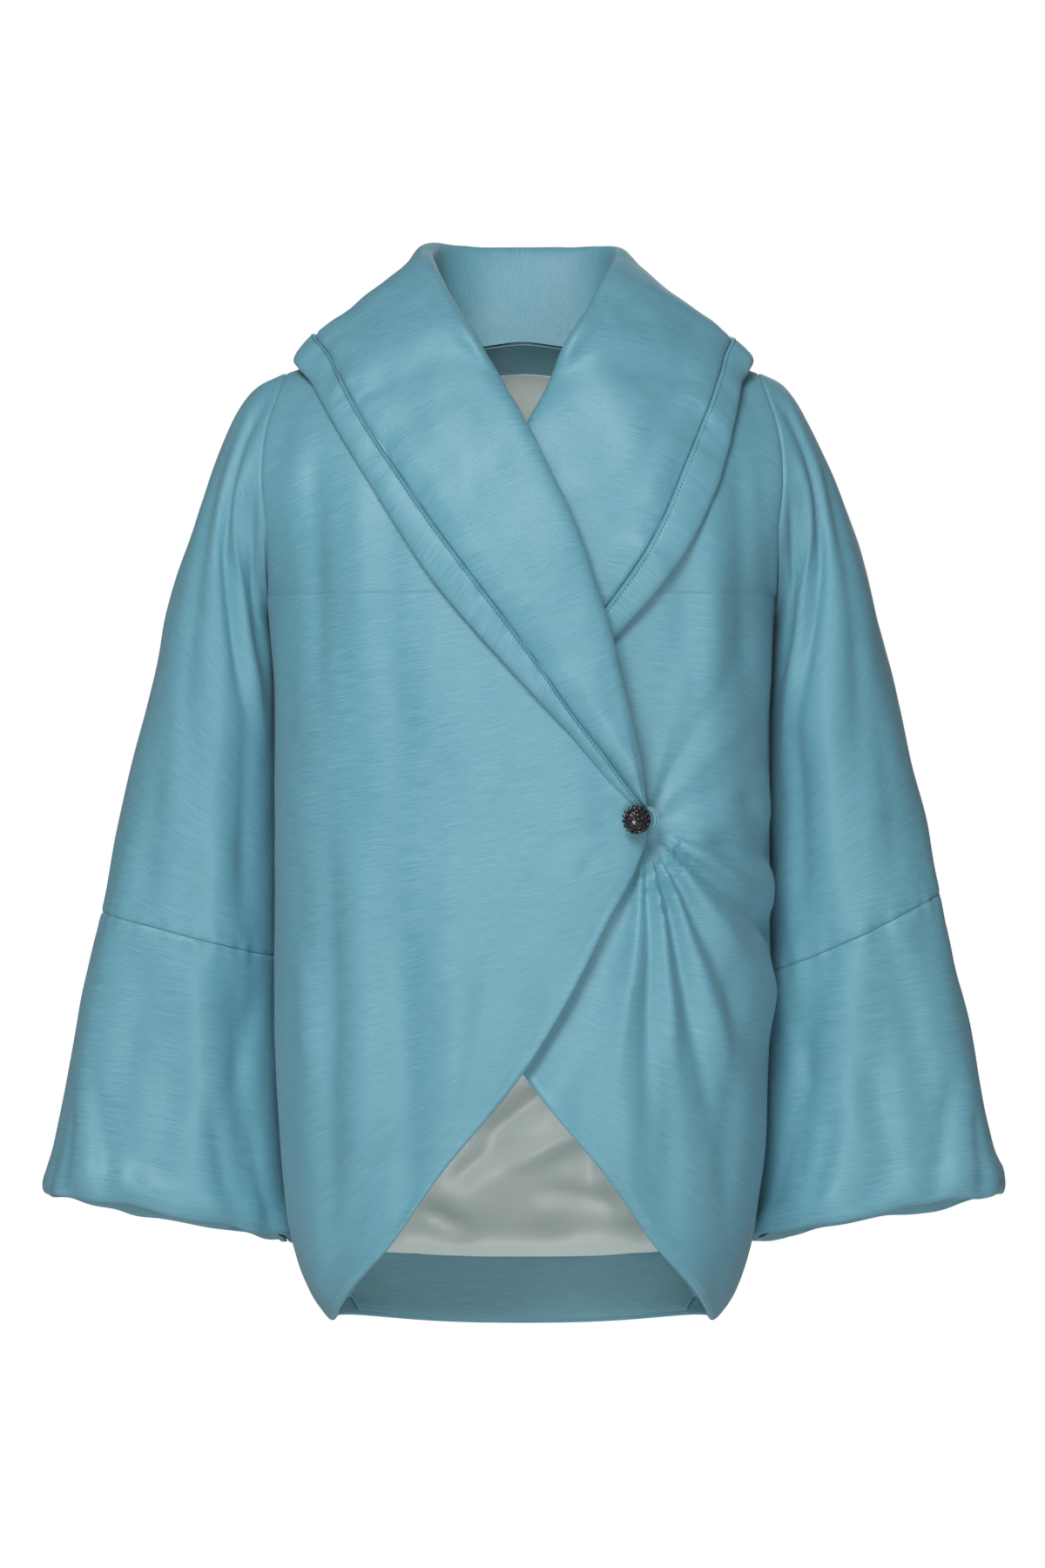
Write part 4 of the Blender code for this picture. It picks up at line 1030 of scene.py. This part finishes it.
EDGE_BACK = ((0, 0, -0.056, 0.0065), (0.08, -0.07, -0.054, 0.0065), (0.15, -0.13, -0.045, 0.0065))
EDGE_RIDGE = (0.20, -0.1745, 0.0065)
EDGE_FRONT = ((0.30, -0.1643, -0.0565, 0.0065), (0.38, -0.1475, -0.0871, 0.0065),
              (0.52, -0.1045, -0.1580, 0.006), (0.65, -0.0650, -0.2165, 0.006),
              (0.80, 0.0054, -0.2967, 0.006), (0.88, 0.0391, -0.3332, 0.0040),
              (0.95, 0.0680, -0.3680, 0.0008), (1.0, 0.0885, -0.3890, -0.0010))
UNDER_EDGE_FRONT = ((0.30, -0.1720, -0.0560, 0.0065), (0.38, -0.1660, -0.0850, 0.0065),
                    (0.47, -0.1540, -0.1300, 0.006), (0.60, -0.1244, -0.1916, 0.006),
                    (0.74, -0.0696, -0.2596, 0.006), (0.85, -0.0050, -0.3150, 0.006),
                    (0.94, 0.0420, -0.3590, 0.005), (1.0, 0.0885, -0.3890, 0.004))
BAND_STEPS = np.concatenate([[0, 0.02, 0.05, 0.09, 0.14], np.linspace(0.20, 0.90, 10),
                             [0.94, 0.97, 0.99, 1.0]])
STITCH_PITCH = 0.0032
STITCH_LENGTH = 0.0024
STITCH_WIDTH = 0.00075
STITCH_INSET = 0.0032


def through(first, middle, last, t):
    """The curve through three lines of points, at t from 0 to 1."""
    t = t[None, :, None]
    return (first[:, None] * (1 - t) * (1 - 2 * t) + middle[:, None] * 4 * t * (1 - t)
            + last[:, None] * t * (2 * t - 1))


def stitches_along(name, line, normals, beside, finish):
    """Joined meshes of short slanted stitches that lie along a line on the cloth."""
    way = np.concatenate([[0], np.cumsum(np.linalg.norm(np.diff(line, axis=0), axis=1))])
    points, faces = [], []
    for at in np.arange(STITCH_PITCH, way[-1] - STITCH_PITCH, STITCH_PITCH):
        here = np.array([np.interp(at, way, line[:, k]) for k in range(3)])
        ahead = np.array([np.interp(at + 0.001, way, line[:, k]) for k in range(3)])
        up = unit(np.array([np.interp(at, way, normals[:, k]) for k in range(3)]))
        side = unit(np.array([np.interp(at, way, beside[:, k]) for k in range(3)]))
        along = unit(unit(ahead - here) + 0.35 * side)
        wide = np.cross(up, along)
        first = len(points)
        for t, size in ((-0.5, 0.25), (-0.3, 0.9), (0.0, 1.15), (0.3, 0.9), (0.5, 0.25)):
            middle = here + along * t * STITCH_LENGTH + up * 0.0006
            for k in range(6):
                turn = math.pi * k / 3
                spoke = math.cos(turn) * wide + math.sin(turn) * up * 0.7
                points.append(middle + spoke * STITCH_WIDTH * 0.5 * size)
        for ring in range(4):
            for k in range(6):
                a, b = first + ring * 6 + k, first + ring * 6 + (k + 1) % 6
                faces.append((a, b, b + 6, a + 6))
        for ring in (0, 4):
            tip = first + ring * 6
            order = (5, 4, 3, 2, 1, 0) if ring == 0 else (0, 1, 2, 3, 4, 5)
            faces.append(tuple(tip + k for k in order))
    mesh = bpy.data.meshes.new(name)
    mesh.from_pydata([tuple(p) for p in points], [], faces)
    shell = bmesh.new()
    shell.from_mesh(mesh)
    bmesh.ops.recalc_face_normals(shell, faces=shell.faces[:])
    shell.to_mesh(mesh)
    shell.free()
    mesh.shade_smooth()
    mesh.materials.append(finish)
    piece = bpy.data.objects.new(name, mesh)
    scene.collection.objects.link(piece)
    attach(piece, "root")
    return piece


thread = bpy.data.materials.new("silk_thread")
thread.use_nodes = True
twist = Shade(thread.node_tree)
plies = twist.node("ShaderNodeTexNoise", {}, {"Scale": 900.0, "Detail": 1.0})
tint = twist.node("ShaderNodeMix", {"data_type": "RGBA"},
                  {0: plies, 6: (0.030, 0.125, 0.175, 1), 7: (0.075, 0.235, 0.305, 1)}, out=2)
thread.node_tree.links.new(tint.socket, thread.node_tree.nodes["Principled BSDF"].inputs["Base Color"])
thread.node_tree.nodes["Principled BSDF"].inputs["Roughness"].default_value = 0.4

for name, under, seed in (("right", False, 101.5), ("left", True, 112.5)):
    stations, m, under_m, inwards, groove = collar_lines[name]
    edge_rows = UNDER_EDGE_FRONT if under else EDGE_FRONT
    edge = ease(np.vstack([on_back(EDGE_BACK), on_ridge(EDGE_RIDGE), on_front(edge_rows, under)]))
    e = edge(stations)
    rim = under_m - m
    top = m - inwards * groove[:, None]
    edge_out = np.array([
        unit(panel_normal(p) if s > 0.26 else -q) for p, s, q in zip(e, stations, rim)
    ])
    middle = (top + e) / 2 - inwards * 0.0016
    surface = through(top, middle, e, BAND_STEPS)
    breadth = np.linalg.norm(e - m, axis=1)[:, None]
    share = np.clip(breadth / 0.018, 0.15, 1)
    way = BAND_STEPS[None, :] * breadth
    down = way_down(surface[:, :1]) + np.zeros_like(way)
    over = BAND_STEPS[None, :, None]
    direction = unit(inwards[:, None] * (1 - over) - edge_out[:, None] * over)
    share = share * ramp((1 - stations[:, None]) / 0.05 + 0.3)
    lift = 0.0010 * share * bulge(way, 0.005) * bulge(breadth - way, 0.007)
    lift += uneven(surface, (0.03, 0.03, 0.03), 0.0010, seed) * share
    lift += (puckers(down, way, 0.010, 0.0010, 0.008, seed)
             + puckers(down, breadth - way, 0.016, 0.0012, 0.010, seed)) * share
    sunk_in = groove[:, None] * (1 - bulge(way, 0.0045)) - lift
    depth = np.minimum(np.linalg.norm(rim, axis=1)[:, None], 0.0062)
    outer = surface + direction * sunk_in[..., None]
    roll = bulge(breadth - way, 0.0055)
    thick = 0.0002 + (depth - 0.0002) * (0.35 + 0.65 * roll)
    outer = outer + direction * (0.0016 * share * (1 - roll))[..., None]
    inner = outer + direction * thick[..., None]
    outer[0, :, 0] = inner[0, :, 0] = 0
    side_of = mirrored if under else np.copy
    band = sew_wall(f"{name}_collar_band_cloth", [f"{name}_collar_band"], side_of(outer),
                    side_of(inner), way, down, (satin, satin))
    inset = np.clip(STITCH_INSET / breadth[:, 0], 0, 0.4)
    line = np.array([
        [np.interp(t, BAND_STEPS, row[:, k]) for k in range(3)] for t, row in zip(inset, outer)
    ])
    shown = stations > 0.12
    stitches_along(f"{name}_pick_stitches", side_of(line[shown]), side_of(-direction[shown, 3]),
                   side_of((e - m)[shown]), thread)


# --- Button ---
# A dome covered with small black faceted beads, sewn on beside the over front's edge.

BUTTON_RADIUS = 0.0117
BEAD_RADIUS = 0.00138

button_x, button_z = 0.0861, -0.3967
button_drop = drop_at(button_x, button_z)
button_turn = turn_at(button_x, button_drop)
foot, axis = laid(button_turn, button_drop, 0.0006, False), outward(button_turn, button_drop)
beads_black = bpy.data.materials.new("black_beads")
beads_black.use_nodes = True
jet = Shade(beads_black.node_tree)
varied = jet.node("ShaderNodeTexNoise", {}, {"Scale": 420.0, "Detail": 0.0})
tint = jet.node("ShaderNodeMix", {"data_type": "RGBA"},
                {0: varied, 6: (0.004, 0.004, 0.005, 1), 7: (0.035, 0.035, 0.040, 1)}, out=2)
bead_shader = beads_black.node_tree.nodes["Principled BSDF"]
beads_black.node_tree.links.new(tint.socket, bead_shader.inputs["Base Color"])
bead_shader.inputs["Roughness"].default_value = 0.12
bead_shader.inputs["Specular IOR Level"].default_value = 0.8

upright = Vector(axis).to_track_quat("Z", "Y")
parts = []
dome_centre = Vector(foot) + Vector(axis) * 0.0100
bpy.ops.mesh.primitive_uv_sphere_add(segments=24, ring_count=12, radius=BUTTON_RADIUS - 0.0020)
core = bpy.context.active_object
core.scale = (1, 1, 0.58)
core.location = dome_centre
core.rotation_euler = upright.to_euler()
parts.append(core)
bpy.ops.mesh.primitive_cylinder_add(vertices=16, radius=0.002, depth=0.0080)
shank = bpy.context.active_object
shank.location = Vector(foot) + Vector(axis) * 0.0042
shank.rotation_euler = upright.to_euler()
parts.append(shank)
for ring, (polar, count) in enumerate(((0, 1), (19, 5), (38, 10), (57, 14), (75, 16), (92, 17))):
    for k in range(count):
        around = 2 * math.pi * (k + 0.37 * ring) / count
        radius = BUTTON_RADIUS - 0.0013
        place = Vector((radius * math.sin(math.radians(polar)) * math.cos(around),
                        radius * math.sin(math.radians(polar)) * math.sin(around),
                        radius * 0.60 * math.cos(math.radians(polar))))
        bpy.ops.mesh.primitive_ico_sphere_add(subdivisions=2, radius=BEAD_RADIUS)
        bead = bpy.context.active_object
        bead.location = dome_centre + upright @ place
        bead.rotation_euler = (1.1 * k + ring, 0.7 * k, 2.3 * ring + 0.4 * k)
        parts.append(bead)
bpy.ops.object.select_all(action="DESELECT")
for part in parts:
    part.select_set(True)
bpy.context.view_layer.objects.active = core
bpy.ops.object.join()
bpy.ops.object.transform_apply(location=True, rotation=True, scale=True)
button = bpy.context.active_object
button.name = "beaded_button"
button.data.materials.clear()
button.data.materials.append(beads_black)
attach(button, "root")
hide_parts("button")
bpy.ops.object.select_all(action="DESELECT")


# --- Button loop ---
# A thin satin cord, sewn into the edge at both ends, that the button goes through.

LOOP_POINTS = ((0.0985, -0.3870), (0.1035, -0.3905), (0.1055, -0.3960), (0.1045, -0.4020), (0.1005, -0.4065))
LOOP_RADIUS = 0.0011
LOOP_LIFT = 0.0002
cord = bpy.data.curves.new("button_loop_cord", "CURVE")
cord.dimensions = "3D"
cord.bevel_depth = LOOP_RADIUS
cord.bevel_resolution = 4
cord.resolution_u = 12
cord.use_fill_caps = True
for inset in (0.0, 0.0026):
    strand = cord.splines.new("BEZIER")
    strand.bezier_points.add(len(LOOP_POINTS) - 1)
    for knot, (x, z) in zip(strand.bezier_points, LOOP_POINTS):
        drop = drop_at(x - inset, z)
        knot.co = laid(turn_at(x - inset, drop), drop, LOOP_LIFT + inset * 0.5, False)
        knot.handle_left_type = knot.handle_right_type = "AUTO"
loop = bpy.data.objects.new("button_loop_cord", cord)
scene.collection.objects.link(loop)
rouleau = bpy.data.materials.new("satin_rouleau")
rouleau.use_nodes = True
rouleau.node_tree.nodes["Principled BSDF"].inputs["Base Color"].default_value = (0.19, 0.42, 0.50, 1)
rouleau.node_tree.nodes["Principled BSDF"].inputs["Roughness"].default_value = 0.35
cord.materials.append(rouleau)
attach(loop, "root")
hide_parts("button_loop")
